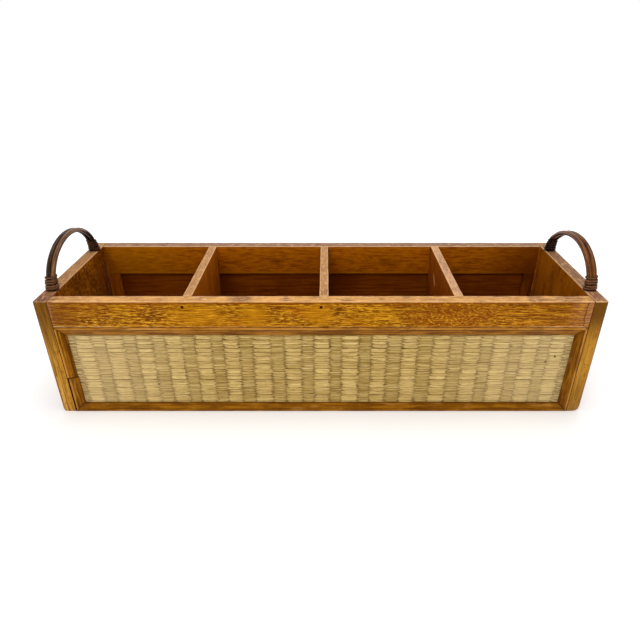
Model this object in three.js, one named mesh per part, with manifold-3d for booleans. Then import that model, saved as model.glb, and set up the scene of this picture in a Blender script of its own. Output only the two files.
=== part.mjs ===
import * as THREE from "three";
import { mergeVertices } from "three/addons/utils/BufferGeometryUtils.js";
import Module from "manifold-3d";

// A four-compartment wooden caddy with mat panels in its long walls and rattan arch handles.
// Millimetres, +Z up, +X along the length, the front faces -Y, origin at the middle of the underside.

// The box
const LENGTH = 610;
const DEPTH = 178;
const HEIGHT = 145;
const END_THICK = 15;
const END_CORNER_RADIUS = 2;
const LEFT_TOE_RADIUS = 5;
const RIGHT_TOE_RADIUS = 9;
const BOTTOM_THICK = 8;
const DIVIDER_THICK = 10;
const LEFT_DIVIDER_SHARE = -0.2485;
const MIDDLE_DIVIDER_SHARE = 0.006;
const RIGHT_DIVIDER_SHARE = 0.2575;
const JOINT_GAP = 0.15;
const CUT_OVERRUN = 1;
const ROUND_STEPS = 5;

// The long walls: a rebated top rail, two stiles and a bottom rail round a thin panel
const RAIL_THICK = 14.5;
const RAIL_FACE_HEIGHT = 31.4;
const RAIL_LIP_HEIGHT = 8.1;
const LIP_THICK = 5.5;
const STILE_WIDTH = 15;
const BOTTOM_RAIL_HEIGHT = 16;
const PANEL_THICK = 3;
const PANEL_LIFT = 1;
const MAT_THICK = 2;

// The moulding strips that frame the mat
const MOULDING_WIDTH = 11;
const MOULDING_THICK = 4.5;
const MOULDING_INNER_THICK = 1.4;
const MOULDING_EDGE_ROUND = 0.6;
const BEAD_RADIUS = 1.6;
const BEAD_END_ANGLE = Math.PI / 4;
const SPLICE_HEIGHT = 47.4;
const SPLICE_SLIP = 1;

// The handles: two canes side by side, pegged into the end board and bound at each foot
const HANDLE_INSET = 29;
const HANDLE_RISE = 44.4;
const CANE_DIAMETER = 4.9;
const CANE_SPACE = 0.3;
const PEG_DEPTH = 20;
const PEG_CLEARANCE = 0.3;
const CANE_SIDES = 10;
const CANE_STEPS = 36;

// The bindings: one flattish strand wound round both canes
const STRAND_WIDTH = 2.3;
const STRAND_THICK = 1.8;
const STRAND_SIDES = 6;
const BINDING_TURNS = 4.5;
const BINDING_PITCH = 2.95;
const BINDING_CLEARANCE = 0.3;
const BINDING_FLARE = 0.3;
const STEPS_PER_TURN = 24;

// The nails
const NAIL_LENGTH = 35;
const NAIL_DIAMETER = 1.8;
const NAIL_HEAD_DIAMETER = 3.2;
const NAIL_HEAD_THICK = 0.8;
const NAIL_POINT_LENGTH = 3;
const NAIL_CLEARANCE = 0.3;
const NAIL_SINK = 0.3;
const NAIL_SIDES = 8;
const DIVIDER_NAIL_DROP = 6.7;
const DIVIDER_NAIL_ASIDE = 3;
const CORNER_NAIL_DROP = { upper: 9, lower: 23 };

const innerHalfLength = LENGTH / 2 - END_THICK;
const innerHalfDepth = DEPTH / 2 - RAIL_THICK;
const rebateDepth = RAIL_THICK - LIP_THICK;
const railFaceBottom = HEIGHT - RAIL_FACE_HEIGHT;
const lipBottom = railFaceBottom - RAIL_LIP_HEIGHT;
const panelBack = rebateDepth - JOINT_GAP;
const matBack = panelBack - PANEL_THICK - JOINT_GAP;
const mouldingBack = matBack - MAT_THICK - JOINT_GAP;
const handleHalfSpan = DEPTH / 2 - HANDLE_INSET;
const caneRadius = CANE_DIAMETER / 2;
const caneSpacing = CANE_DIAMETER + CANE_SPACE;

// Where each divider's middle stands, as a share of the inner length.
const dividerShares = {
  left: LEFT_DIVIDER_SHARE,
  middle: MIDDLE_DIVIDER_SHARE,
  right: RIGHT_DIVIDER_SHARE,
};

const RIGHT = new THREE.Vector3(1, 0, 0);
const BACK = new THREE.Vector3(0, 1, 0);
const UP = new THREE.Vector3(0, 0, 1);

const wasm = await Module();
wasm.setup();

// A closed geometry as a solid that can be cut.
function solidOf(geometry) {
  const bare = geometry.clone();
  bare.deleteAttribute("normal");
  bare.deleteAttribute("uv");
  const merged = mergeVertices(bare);
  return new wasm.Manifold(
    new wasm.Mesh({
      numProp: 3,
      vertProperties: merged.attributes.position.array,
      triVerts: new Uint32Array(merged.index.array),
    }),
  );
}

// A solid as a geometry with one normal to a face.
function geometryOf(solid) {
  const mesh = solid.getMesh();
  const geometry = new THREE.BufferGeometry();
  geometry.setAttribute("position", new THREE.BufferAttribute(mesh.vertProperties, 3));
  geometry.setIndex(new THREE.BufferAttribute(mesh.triVerts, 1));
  const faceted = geometry.toNonIndexed();
  faceted.computeVertexNormals();
  return faceted;
}

// A geometry with holes cut in it.
function cut(geometry, holes) {
  const whole = solidOf(geometry);
  return geometryOf(holes.reduce((left, hole) => left.subtract(solidOf(hole)), whole));
}

const varnishedWood = (color) => () =>
  new THREE.MeshStandardMaterial({ color, roughness: 0.38, metalness: 0 });
const endWood = varnishedWood(0x8a5418);
const railWood = varnishedWood(0xa56a1c);
const dividerWood = varnishedWood(0x7c4a1a);
const mouldingWood = varnishedWood(0x8c5520);
const panelWood = varnishedWood(0x4c2a10);
const matRush = () =>
  new THREE.MeshStandardMaterial({ color: 0xc9b27c, roughness: 0.8, metalness: 0 });
const rattan = (color) => () =>
  new THREE.MeshStandardMaterial({ color, roughness: 0.45, metalness: 0 });
const outerRattan = rattan(0x4a3626);
const innerRattan = rattan(0x7a573c);
const boundRattan = rattan(0x5a4130);
const nailSteel = () =>
  new THREE.MeshStandardMaterial({ color: 0x3a2c20, roughness: 0.55, metalness: 0.8 });

function piece(name, geometry, material) {
  const mesh = new THREE.Mesh(geometry, material());
  mesh.name = name;
  return mesh;
}

// A rectangular piece given by its lowest corner and its size.
function board(name, low, size, material, holes = []) {
  const geometry = new THREE.BoxGeometry(...size);
  geometry.translate(size[0] / 2, size[1] / 2, size[2] / 2);
  const own = holes.map((hole) => hole.clone().translate(-low[0], -low[1], -low[2]));
  const mesh = piece(name, own.length ? cut(geometry, own) : geometry, material);
  mesh.position.set(...low);
  return mesh;
}

// A nail or the hole that it lies in: a head, a shank and a point, turned round its axis.
function nailShape(at, direction, slack) {
  const headRadius = NAIL_HEAD_DIAMETER / 2 + slack;
  const shankRadius = NAIL_DIAMETER / 2 + slack;
  const headTop = slack ? -NAIL_SINK - CUT_OVERRUN : 0;
  const headBottom = NAIL_HEAD_THICK + slack;
  const profile = [
    new THREE.Vector2(0, headTop),
    new THREE.Vector2(headRadius, headTop),
    new THREE.Vector2(headRadius, headBottom),
    new THREE.Vector2(shankRadius, headBottom),
    new THREE.Vector2(shankRadius, NAIL_LENGTH - NAIL_POINT_LENGTH + slack),
    new THREE.Vector2(0, NAIL_LENGTH + slack),
  ];
  const geometry = new THREE.LatheGeometry(profile, NAIL_SIDES);
  geometry.applyQuaternion(new THREE.Quaternion().setFromUnitVectors(BACK, direction));
  const seat = at.clone().addScaledVector(direction, NAIL_SINK);
  return geometry.translate(seat.x, seat.y, seat.z);
}

// Every nail: its name, the middle of its head on the wood, and the way it was driven.
function nailPlan() {
  const plan = [];
  const nail = (name, x, y, z, direction) =>
    plan.push({ name, at: new THREE.Vector3(x, y, z), direction });
  for (const [place, share] of Object.entries(dividerShares)) {
    const middle = 2 * innerHalfLength * share;
    const x = middle - DIVIDER_NAIL_ASIDE;
    const z = HEIGHT - DIVIDER_NAIL_DROP;
    nail(`front_nail_${place}_divider`, x, -DEPTH / 2, z, BACK);
    nail(`rear_nail_${place}_divider`, x, DEPTH / 2, z, BACK.clone().negate());
    nail(`bottom_nail_${place}_divider`, middle, 0, 0, UP);
  }
  const railMiddle = DEPTH / 2 - RAIL_THICK / 2;
  for (const [level, drop] of Object.entries(CORNER_NAIL_DROP))
    for (const [side, y] of [["front", -railMiddle], ["rear", railMiddle]]) {
      const z = HEIGHT - drop;
      nail(`left_${side}_corner_nail_${level}`, -LENGTH / 2, y, z, RIGHT);
      nail(`right_${side}_corner_nail_${level}`, LENGTH / 2, y, z, RIGHT.clone().negate());
    }
  return plan;
}

const nails = nailPlan();
const nailHoles = (match) =>
  nails
    .filter(({ name }) => match.test(name))
    .map(({ at, direction }) => nailShape(at, direction, NAIL_CLEARANCE));

// An end board, seen in plan: its two outer corners are rounded, and so is its outer lower edge.
function endBoard(side, outward, toeRadius) {
  const inner = outward * innerHalfLength;
  const outer = (outward * LENGTH) / 2;
  const half = DEPTH / 2;
  const outwardAngle = outward > 0 ? 0 : Math.PI;
  const clockwise = outward < 0;
  const cornerX = outer - outward * END_CORNER_RADIUS;
  const cornerY = half - END_CORNER_RADIUS;
  const quarter = Math.PI / 2;
  const plan = new THREE.Shape();
  plan.moveTo(inner, -half);
  plan.lineTo(cornerX, -half);
  plan.absarc(cornerX, -cornerY, END_CORNER_RADIUS, -quarter, outwardAngle, clockwise);
  plan.absarc(cornerX, cornerY, END_CORNER_RADIUS, outwardAngle, quarter, clockwise);
  plan.lineTo(inner, half);
  const upright = new THREE.ExtrudeGeometry(plan, {
    depth: HEIGHT,
    bevelEnabled: false,
    curveSegments: ROUND_STEPS,
  });

  const toeX = outer - outward * toeRadius;
  const past = outer + outward * CUT_OVERRUN;
  const toe = new THREE.Shape();
  toe.moveTo(toeX, -CUT_OVERRUN);
  toe.lineTo(toeX, 0);
  toe.absarc(toeX, toeRadius, toeRadius, -quarter, outwardAngle, clockwise);
  toe.lineTo(past, toeRadius);
  toe.lineTo(past, -CUT_OVERRUN);
  const toeCut = new THREE.ExtrudeGeometry(toe, {
    depth: DEPTH + 2 * CUT_OVERRUN,
    bevelEnabled: false,
    curveSegments: ROUND_STEPS,
  });
  toeCut.rotateX(quarter);
  toeCut.translate(0, half + CUT_OVERRUN, 0);

  const mortises = [-1, 1].map((end) => handleMortise(outward, end * handleHalfSpan));
  const holes = [toeCut, ...mortises, ...nailHoles(new RegExp(`^${side}_.*corner_nail`))];
  return piece(`${side}_end_board`, cut(upright, holes), endWood);
}

// The round-ended hole that holds the two canes of one handle foot.
function handleMortise(outward, y) {
  const x = outward * (LENGTH / 2 - END_THICK / 2);
  const radius = caneRadius + PEG_CLEARANCE;
  const reach = caneSpacing / 2;
  const outline = new THREE.Shape();
  outline.absarc(x + reach, y, radius, -Math.PI / 2, Math.PI / 2, false);
  outline.absarc(x - reach, y, radius, Math.PI / 2, (3 * Math.PI) / 2, false);
  const hole = new THREE.ExtrudeGeometry(outline, {
    depth: PEG_DEPTH + PEG_CLEARANCE + CUT_OVERRUN,
    bevelEnabled: false,
    curveSegments: ROUND_STEPS,
  });
  return hole.translate(0, 0, HEIGHT - PEG_DEPTH - PEG_CLEARANCE);
}

// The top rail: its lower outer edge is rebated for the panel, the mat and the moulding.
function topRail(side) {
  const face = -DEPTH / 2;
  const outline = new THREE.Shape();
  outline.moveTo(face, HEIGHT);
  outline.lineTo(face, railFaceBottom);
  outline.lineTo(face + rebateDepth, railFaceBottom);
  outline.lineTo(face + rebateDepth, lipBottom);
  outline.lineTo(face + RAIL_THICK, lipBottom);
  outline.lineTo(face + RAIL_THICK, HEIGHT);
  const length = 2 * (innerHalfLength - JOINT_GAP);
  const rail = new THREE.ExtrudeGeometry(outline, { depth: length, bevelEnabled: false });
  const axes = new THREE.Matrix4().makeBasis(BACK, UP, RIGHT);
  rail.applyMatrix4(axes);
  rail.translate(-length / 2, 0, 0);
  if (side === "rear") rail.rotateZ(Math.PI);
  const holes = nailHoles(new RegExp(`^(${side}_nail|(left|right)_${side}_corner)`));
  return piece(`${side}_top_rail`, cut(rail, holes), railWood);
}

// The moulding's section: across from its outer edge, and out from the mat.
function mouldingOutline() {
  const outline = new THREE.Shape();
  const beadMiddle = MOULDING_THICK - BEAD_RADIUS;
  outline.moveTo(0, 0);
  outline.lineTo(0, beadMiddle);
  outline.absarc(BEAD_RADIUS, beadMiddle, BEAD_RADIUS, Math.PI, BEAD_END_ANGLE, true);
  outline.lineTo(MOULDING_WIDTH - MOULDING_EDGE_ROUND, MOULDING_INNER_THICK);
  outline.lineTo(MOULDING_WIDTH, MOULDING_INNER_THICK - MOULDING_EDGE_ROUND);
  outline.lineTo(MOULDING_WIDTH, 0);
  return outline;
}

// A length of moulding whose ends are square or mitred. A mitre may start past the outer edge.
function mouldingStrip(length, startMitre, endMitre, past = 0) {
  const strip = new THREE.ExtrudeGeometry(mouldingOutline(), {
    depth: length,
    bevelEnabled: false,
    curveSegments: ROUND_STEPS,
  });
  const at = strip.getAttribute("position");
  for (let i = 0; i < at.count; i++) {
    const across = at.getX(i) + JOINT_GAP + past;
    const atEnd = at.getZ(i) > length / 2;
    if (atEnd && endMitre) at.setZ(i, length - across);
    if (!atEnd && startMitre) at.setZ(i, across);
  }
  strip.computeVertexNormals();
  return strip;
}

// A strip laid on a wall's outer face: inward is the way from its outer edge to the mat.
function laidStrip(name, strip, start, inward, along) {
  const mesh = piece(name, strip, mouldingWood);
  const outward = BACK.clone().negate();
  mesh.applyMatrix4(new THREE.Matrix4().makeBasis(inward, outward, along));
  mesh.position.copy(start);
  return mesh;
}

// The four sides of moulding. The front's left strip was made up from two lengths.
function mouldingFrame(side, leftName, rightName) {
  const y = -DEPTH / 2 + mouldingBack;
  const halfWide = innerHalfLength - JOINT_GAP;
  const high = railFaceBottom - JOINT_GAP;
  const corner = (x, z) => new THREE.Vector3(x, y, z);
  const down = UP.clone().negate();
  const left = RIGHT.clone().negate();
  const whole = mouldingStrip(2 * halfWide, true, true);
  const upright = mouldingStrip(high, true, true);
  const strips = [
    laidStrip(`${side}_moulding_top`, whole, corner(halfWide, high), down, left),
    laidStrip(`${side}_moulding_bottom`, whole, corner(-halfWide, 0), UP, RIGHT),
    laidStrip(`${side}_moulding_${rightName}`, upright, corner(halfWide, 0), left, UP),
  ];
  if (side === "rear")
    return [
      ...strips,
      laidStrip(`${side}_moulding_${leftName}`, upright, corner(-halfWide, high), RIGHT, down),
    ];
  const upper = mouldingStrip(high - SPLICE_HEIGHT, true, false);
  const lower = mouldingStrip(SPLICE_HEIGHT - JOINT_GAP, false, true, SPLICE_SLIP);
  const spliceTop = corner(-halfWide + SPLICE_SLIP, SPLICE_HEIGHT - JOINT_GAP);
  return [
    ...strips,
    laidStrip(`${side}_moulding_left_upper`, upper, corner(-halfWide, high), RIGHT, down),
    laidStrip(`${side}_moulding_left_lower`, lower, spliceTop, RIGHT, down),
  ];
}

// One long wall below its top rail, made facing the front and turned round for the rear.
function lowerWall(side) {
  const wall = new THREE.Group();
  const [leftName, rightName] = side === "front" ? ["left", "right"] : ["right", "left"];
  const face = -DEPTH / 2;
  const halfWide = innerHalfLength - JOINT_GAP;
  const stileLow = BOTTOM_RAIL_HEIGHT + JOINT_GAP;
  const stile = [STILE_WIDTH, LIP_THICK, lipBottom - JOINT_GAP - stileLow];
  const frameFace = face + rebateDepth;
  const skinHigh = railFaceBottom - JOINT_GAP - PANEL_LIFT;
  wall.add(
    board(
      `${side}_bottom_rail`,
      [-halfWide, frameFace, 0],
      [2 * halfWide, LIP_THICK, BOTTOM_RAIL_HEIGHT],
      railWood,
    ),
    board(`${side}_${leftName}_stile`, [-halfWide, frameFace, stileLow], stile, railWood),
    board(
      `${side}_${rightName}_stile`,
      [halfWide - STILE_WIDTH, frameFace, stileLow],
      stile,
      railWood,
    ),
    board(
      `${side}_backing_panel`,
      [-halfWide, face + panelBack - PANEL_THICK, PANEL_LIFT],
      [2 * halfWide, PANEL_THICK, skinHigh],
      panelWood,
    ),
    board(
      `${side}_woven_mat`,
      [-halfWide, face + matBack - MAT_THICK, PANEL_LIFT],
      [2 * halfWide, MAT_THICK, skinHigh],
      matRush,
    ),
    ...mouldingFrame(side, leftName, rightName),
  );
  if (side === "rear") wall.rotation.z = Math.PI;
  return wall;
}

function divider(place, share) {
  const low = [
    2 * innerHalfLength * share - DIVIDER_THICK / 2,
    -innerHalfDepth + JOINT_GAP,
    BOTTOM_THICK + JOINT_GAP,
  ];
  const size = [DIVIDER_THICK, 2 * (innerHalfDepth - JOINT_GAP), HEIGHT - low[2]];
  const holes = nailHoles(new RegExp(`nail_${place}_divider`));
  return board(`${place}_divider`, low, size, dividerWood, holes);
}

function bottomBoard() {
  const halfWide = innerHalfLength - JOINT_GAP;
  const halfDeep = innerHalfDepth - JOINT_GAP;
  const low = [-halfWide, -halfDeep, 0];
  const size = [2 * halfWide, 2 * halfDeep, BOTTOM_THICK];
  return board("bottom_board", low, size, panelWood, nailHoles(/^bottom_nail/));
}

// The arch of a handle over the end board: half an ellipse between its two feet.
class ArchCurve extends THREE.Curve {
  getPoint(t, target = new THREE.Vector3()) {
    const angle = Math.PI * t;
    return target.set(0, handleHalfSpan * Math.cos(angle), HANDLE_RISE * Math.sin(angle));
  }
}

// How far the arch's middle line stands from the middle of the handle at a height.
function archReach(z) {
  return handleHalfSpan * Math.sqrt(1 - (z / HANDLE_RISE) ** 2);
}

// How much longer a level cut through the leaning cane is than a square one.
function archLean(z) {
  const slope = ((handleHalfSpan / HANDLE_RISE) ** 2 * z) / archReach(z);
  return Math.hypot(1, slope);
}

function cane() {
  const foot = (y, z) => new THREE.Vector3(0, y, z);
  const route = new THREE.CurvePath();
  route.add(new THREE.LineCurve3(foot(handleHalfSpan, -PEG_DEPTH), foot(handleHalfSpan, 0)));
  route.add(new ArchCurve());
  route.add(new THREE.LineCurve3(foot(-handleHalfSpan, 0), foot(-handleHalfSpan, -PEG_DEPTH)));
  const section = new THREE.Shape();
  section.absarc(0, 0, caneRadius, 0, 2 * Math.PI, false);
  return new THREE.ExtrudeGeometry(section, {
    steps: CANE_STEPS,
    curveSegments: CANE_SIDES,
    extrudePath: route,
    bevelEnabled: false,
  });
}

// A place on the round-ended loop about the two canes, as a share of the way round.
// It starts halfway along the flat flank, so that each end of the strand runs straight.
function loopPlace(share, radiusAcross, radiusDeep) {
  const flat = caneSpacing;
  const round = Math.PI * radiusAcross;
  const way = (share % 1) * 2 * (flat + round);
  if (way < flat / 2) return [way, -radiusDeep];
  if (way < flat / 2 + round) {
    const angle = (way - flat / 2) / radiusAcross - Math.PI / 2;
    return [flat / 2 + radiusAcross * Math.cos(angle), radiusDeep * Math.sin(angle)];
  }
  if (way < flat * 1.5 + round) return [flat + round - way, radiusDeep];
  if (way < flat * 1.5 + 2 * round) {
    const angle = (way - flat * 1.5 - round) / radiusAcross + Math.PI / 2;
    return [-flat / 2 + radiusAcross * Math.cos(angle), radiusDeep * Math.sin(angle)];
  }
  return [way - 2 * (flat + round), -radiusDeep];
}

// The middle line of the strand, wound up the rear foot of a handle.
function bindingPoints() {
  const points = [];
  const steps = BINDING_TURNS * STEPS_PER_TURN;
  for (let i = 0; i <= steps; i++) {
    const turn = i / STEPS_PER_TURN;
    const z = JOINT_GAP + STRAND_WIDTH / 2 + BINDING_PITCH * turn;
    const flare = BINDING_FLARE * (1 - turn / BINDING_TURNS);
    const off = BINDING_CLEARANCE + STRAND_THICK / 2 + flare;
    const [x, y] = loopPlace(turn, caneRadius + off, caneRadius * archLean(z) + off);
    points.push(new THREE.Vector3(x, archReach(z) + y, z));
  }
  return points;
}

// A closed tube along points, with flat ends.
function strandGeometry(points) {
  const count = points.length;
  const vertices = [];
  const faces = [];
  for (let i = 0; i < count; i++) {
    const before = points[Math.max(i - 1, 0)];
    const after = points[Math.min(i + 1, count - 1)];
    const along = after.clone().sub(before).normalize();
    const outward = along.clone().cross(UP).normalize();
    const upward = outward.clone().cross(along);
    for (let k = 0; k < STRAND_SIDES; k++) {
      const angle = (2 * Math.PI * k) / STRAND_SIDES;
      const vertex = points[i]
        .clone()
        .addScaledVector(outward, (STRAND_THICK / 2) * Math.cos(angle))
        .addScaledVector(upward, (STRAND_WIDTH / 2) * Math.sin(angle));
      vertices.push(...vertex.toArray());
    }
  }
  const ring = (i, k) => i * STRAND_SIDES + (k % STRAND_SIDES);
  for (let i = 0; i + 1 < count; i++)
    for (let k = 0; k < STRAND_SIDES; k++) {
      faces.push(ring(i, k), ring(i + 1, k), ring(i + 1, k + 1));
      faces.push(ring(i, k), ring(i + 1, k + 1), ring(i, k + 1));
    }
  for (let k = 1; k + 1 < STRAND_SIDES; k++) {
    faces.push(ring(0, 0), ring(0, k), ring(0, k + 1));
    faces.push(ring(count - 1, 0), ring(count - 1, k + 1), ring(count - 1, k));
  }
  const geometry = new THREE.BufferGeometry();
  geometry.setAttribute("position", new THREE.Float32BufferAttribute(vertices, 3));
  geometry.setIndex(faces);
  geometry.computeVertexNormals();
  return geometry;
}

// The least gap between neighbouring turns, from the points of the strand's middle line.
function leastGap(points) {
  let least = Infinity;
  for (let i = 0; i < points.length; i++)
    for (let j = i + STEPS_PER_TURN / 2; j < points.length; j++)
      least = Math.min(least, points[i].distanceTo(points[j]));
  return least - STRAND_WIDTH;
}

const wound = bindingPoints();
console.log(`binding: least gap to itself ${leastGap(wound).toFixed(2)} mm`);

function handle(side, outward) {
  const group = new THREE.Group();
  group.position.set(outward * (LENGTH / 2 - END_THICK / 2), 0, HEIGHT);
  const aside = (outward * caneSpacing) / 2;
  const outer = piece(`${side}_handle_outer_cane`, cane(), outerRattan);
  outer.position.x = aside;
  const inner = piece(`${side}_handle_inner_cane`, cane(), innerRattan);
  inner.position.x = -aside;
  const rear = piece(`${side}_handle_rear_binding`, strandGeometry(wound), boundRattan);
  const front = piece(`${side}_handle_front_binding`, strandGeometry(wound), boundRattan);
  front.rotation.z = Math.PI;
  group.add(outer, inner, rear, front);
  return group;
}

const caddy = new THREE.Group();
caddy.add(
  endBoard("left", -1, LEFT_TOE_RADIUS),
  endBoard("right", 1, RIGHT_TOE_RADIUS),
  topRail("front"),
  topRail("rear"),
  lowerWall("front"),
  lowerWall("rear"),
  bottomBoard(),
  handle("left", -1),
  handle("right", 1),
);
for (const [place, share] of Object.entries(dividerShares)) caddy.add(divider(place, share));
for (const { name, at, direction } of nails)
  caddy.add(piece(name, nailShape(at, direction, 0), nailSteel));

export default caddy;
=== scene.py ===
"""A long wooden caddy with four compartments, woven mat panels and bound cane handles."""

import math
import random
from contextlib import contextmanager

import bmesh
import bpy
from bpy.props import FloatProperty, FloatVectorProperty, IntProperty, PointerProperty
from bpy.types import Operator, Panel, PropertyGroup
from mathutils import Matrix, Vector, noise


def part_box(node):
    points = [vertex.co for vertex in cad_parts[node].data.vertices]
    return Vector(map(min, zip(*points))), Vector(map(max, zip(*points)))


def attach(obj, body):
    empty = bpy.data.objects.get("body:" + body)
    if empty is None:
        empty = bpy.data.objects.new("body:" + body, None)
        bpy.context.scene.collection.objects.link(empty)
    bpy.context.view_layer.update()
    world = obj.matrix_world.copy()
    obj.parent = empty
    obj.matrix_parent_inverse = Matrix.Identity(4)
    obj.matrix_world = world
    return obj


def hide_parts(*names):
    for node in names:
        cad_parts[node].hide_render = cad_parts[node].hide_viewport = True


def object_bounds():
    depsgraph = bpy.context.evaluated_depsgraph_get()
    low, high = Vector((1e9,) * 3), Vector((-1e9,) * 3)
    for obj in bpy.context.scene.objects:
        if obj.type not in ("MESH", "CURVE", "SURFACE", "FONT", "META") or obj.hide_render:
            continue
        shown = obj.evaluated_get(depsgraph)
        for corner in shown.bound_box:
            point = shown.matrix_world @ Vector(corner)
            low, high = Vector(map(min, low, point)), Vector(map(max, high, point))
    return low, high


bl_info = {
    "name": "Divided Caddy",
    "version": (1, 0, 0),
    "blender": (4, 5, 0),
    "location": "3D View > Sidebar > Caddy",
    "description": "Builds the finished wood, woven mats and cane handles of a divided caddy",
    "category": "Add Mesh",
}

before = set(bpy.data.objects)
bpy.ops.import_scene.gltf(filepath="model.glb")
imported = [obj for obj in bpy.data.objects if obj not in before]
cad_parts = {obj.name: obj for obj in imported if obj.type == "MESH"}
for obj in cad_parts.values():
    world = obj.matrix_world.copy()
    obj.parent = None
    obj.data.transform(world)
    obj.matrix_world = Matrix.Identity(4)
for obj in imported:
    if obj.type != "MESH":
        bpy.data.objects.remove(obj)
CAD_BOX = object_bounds()

MM = 0.001
BODY = "root"
MERGE_DISTANCE = 0.01 * MM
FLAT_ANGLE = math.radians(1)
SMOOTH_ANGLE = math.radians(36)
ROUND_ANGLE = math.radians(60)

# Tints of the highlights, how rough and shiny the rims' worn wood is, and the floor's whites.
VARNISH_TINT = (1.0, 0.5, 0.06)
CANE_TINT = (1.0, 0.66, 0.42)
STRAW_TINT = (1.0, 0.9, 0.75)
WORN_ROUGHNESS = 0.62
WORN_SHINE = 0.25
WHITE = (1.0, 1.0, 1.0)
FLOOR_WHITES = ((0.90, 0.90, 0.90), (0.93, 0.93, 0.93))

# Where a Mix node keeps its share, its two colours and the colour that comes out.
MIX_SHARE, MIX_UNDER, MIX_OVER = 0, 6, 7
MIX_RESULT = 2

# Marks that use has left, in millimetres. A stain on a rim has its middle and its half sizes
# along X and Y, and its depth. Places on the front rail have X and a half width. Holes and dots
# on the front have X, Z and a radius. The scratch runs between two places in Y and Z.
FRONT_RIM_STAINS = (
    (-87, -82, 15, 13, 0.68), (-37, -82, 4, 12, 0.45), (64, -84, 3, 1.6, 0.6),
    (-168, -82, 6, 12, 0.25), (228, -82, 12, 12, 0.62), (-292, -82, 16, 14, 0.75),
    (130, -82, 120, 16, 0.2), (-268, -82, 18, 14, 0.35), (266, -82, 22, 12, 0.6),
    (292, -84, 10, 10, 0.5),
)
LEFT_RIM_STAINS = (
    (-298, -84, 16, 22, 0.95), (-297, -62, 14, 12, 0.6), (-297, 62, 12, 12, 0.5),
)
RIGHT_RIM_STAINS = ((299, -76, 12, 14, 0.4), (297, -58, 12, 10, 0.5), (297, 62, 12, 10, 0.5))
RAIL_CALM_PLACES = ((-274, 22), (-130, 30), (-72, 18), (-2, 18), (132, 50), (254, 38))
RAIL_GOLD_PLACES = ((-215, 14), (-128, 50), (-74, 26), (-2, 20), (56, 32))
RAIL_DULL_PLACES = (
    (-270, 34), (-226, 30), (-184, 16), (-46, 12), (22, 8), (104, 34), (262, 32),
)
RAIL_GRIT_PLACES = ((142, 66),)
PIN_HOLES = ((297.6, 62.2, 0.8), (297.6, 17.4, 0.8), (291.5, 14.9, 0.7), (291.5, 8.8, 0.7))
MAT_DOTS = ((263.0, 74.4, 1.4), (253.6, 67.1, 1.3), (-7.0, 29.0, 0.8))
SCRATCH_ENDS = ((40, 120), (27, 110))


def linear(red, green, blue):
    """A display colour, 0 to 255, as the linear values that a shader takes."""
    def channel(value):
        share = value / 255
        return share / 12.92 if share <= 0.04045 else ((share + 0.055) / 1.055) ** 2.4

    return channel(red), channel(green), channel(blue)


def length(name, description, default):
    return FloatProperty(
        name=name, description=description, default=default, min=0.0, precision=5, unit="LENGTH"
    )


def factor(name, description, default):
    return FloatProperty(
        name=name, description=description, default=default, min=0.0, max=1.0, subtype="FACTOR"
    )


def position(name, description, *place):
    return FloatVectorProperty(
        name=name, description=description, default=place, size=3, subtype="TRANSLATION",
        unit="LENGTH",
    )


def colour(name, description, *display):
    return FloatVectorProperty(
        name=name, description=description, default=linear(*display), size=3, min=0.0, max=1.0,
        subtype="COLOR",
    )


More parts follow.
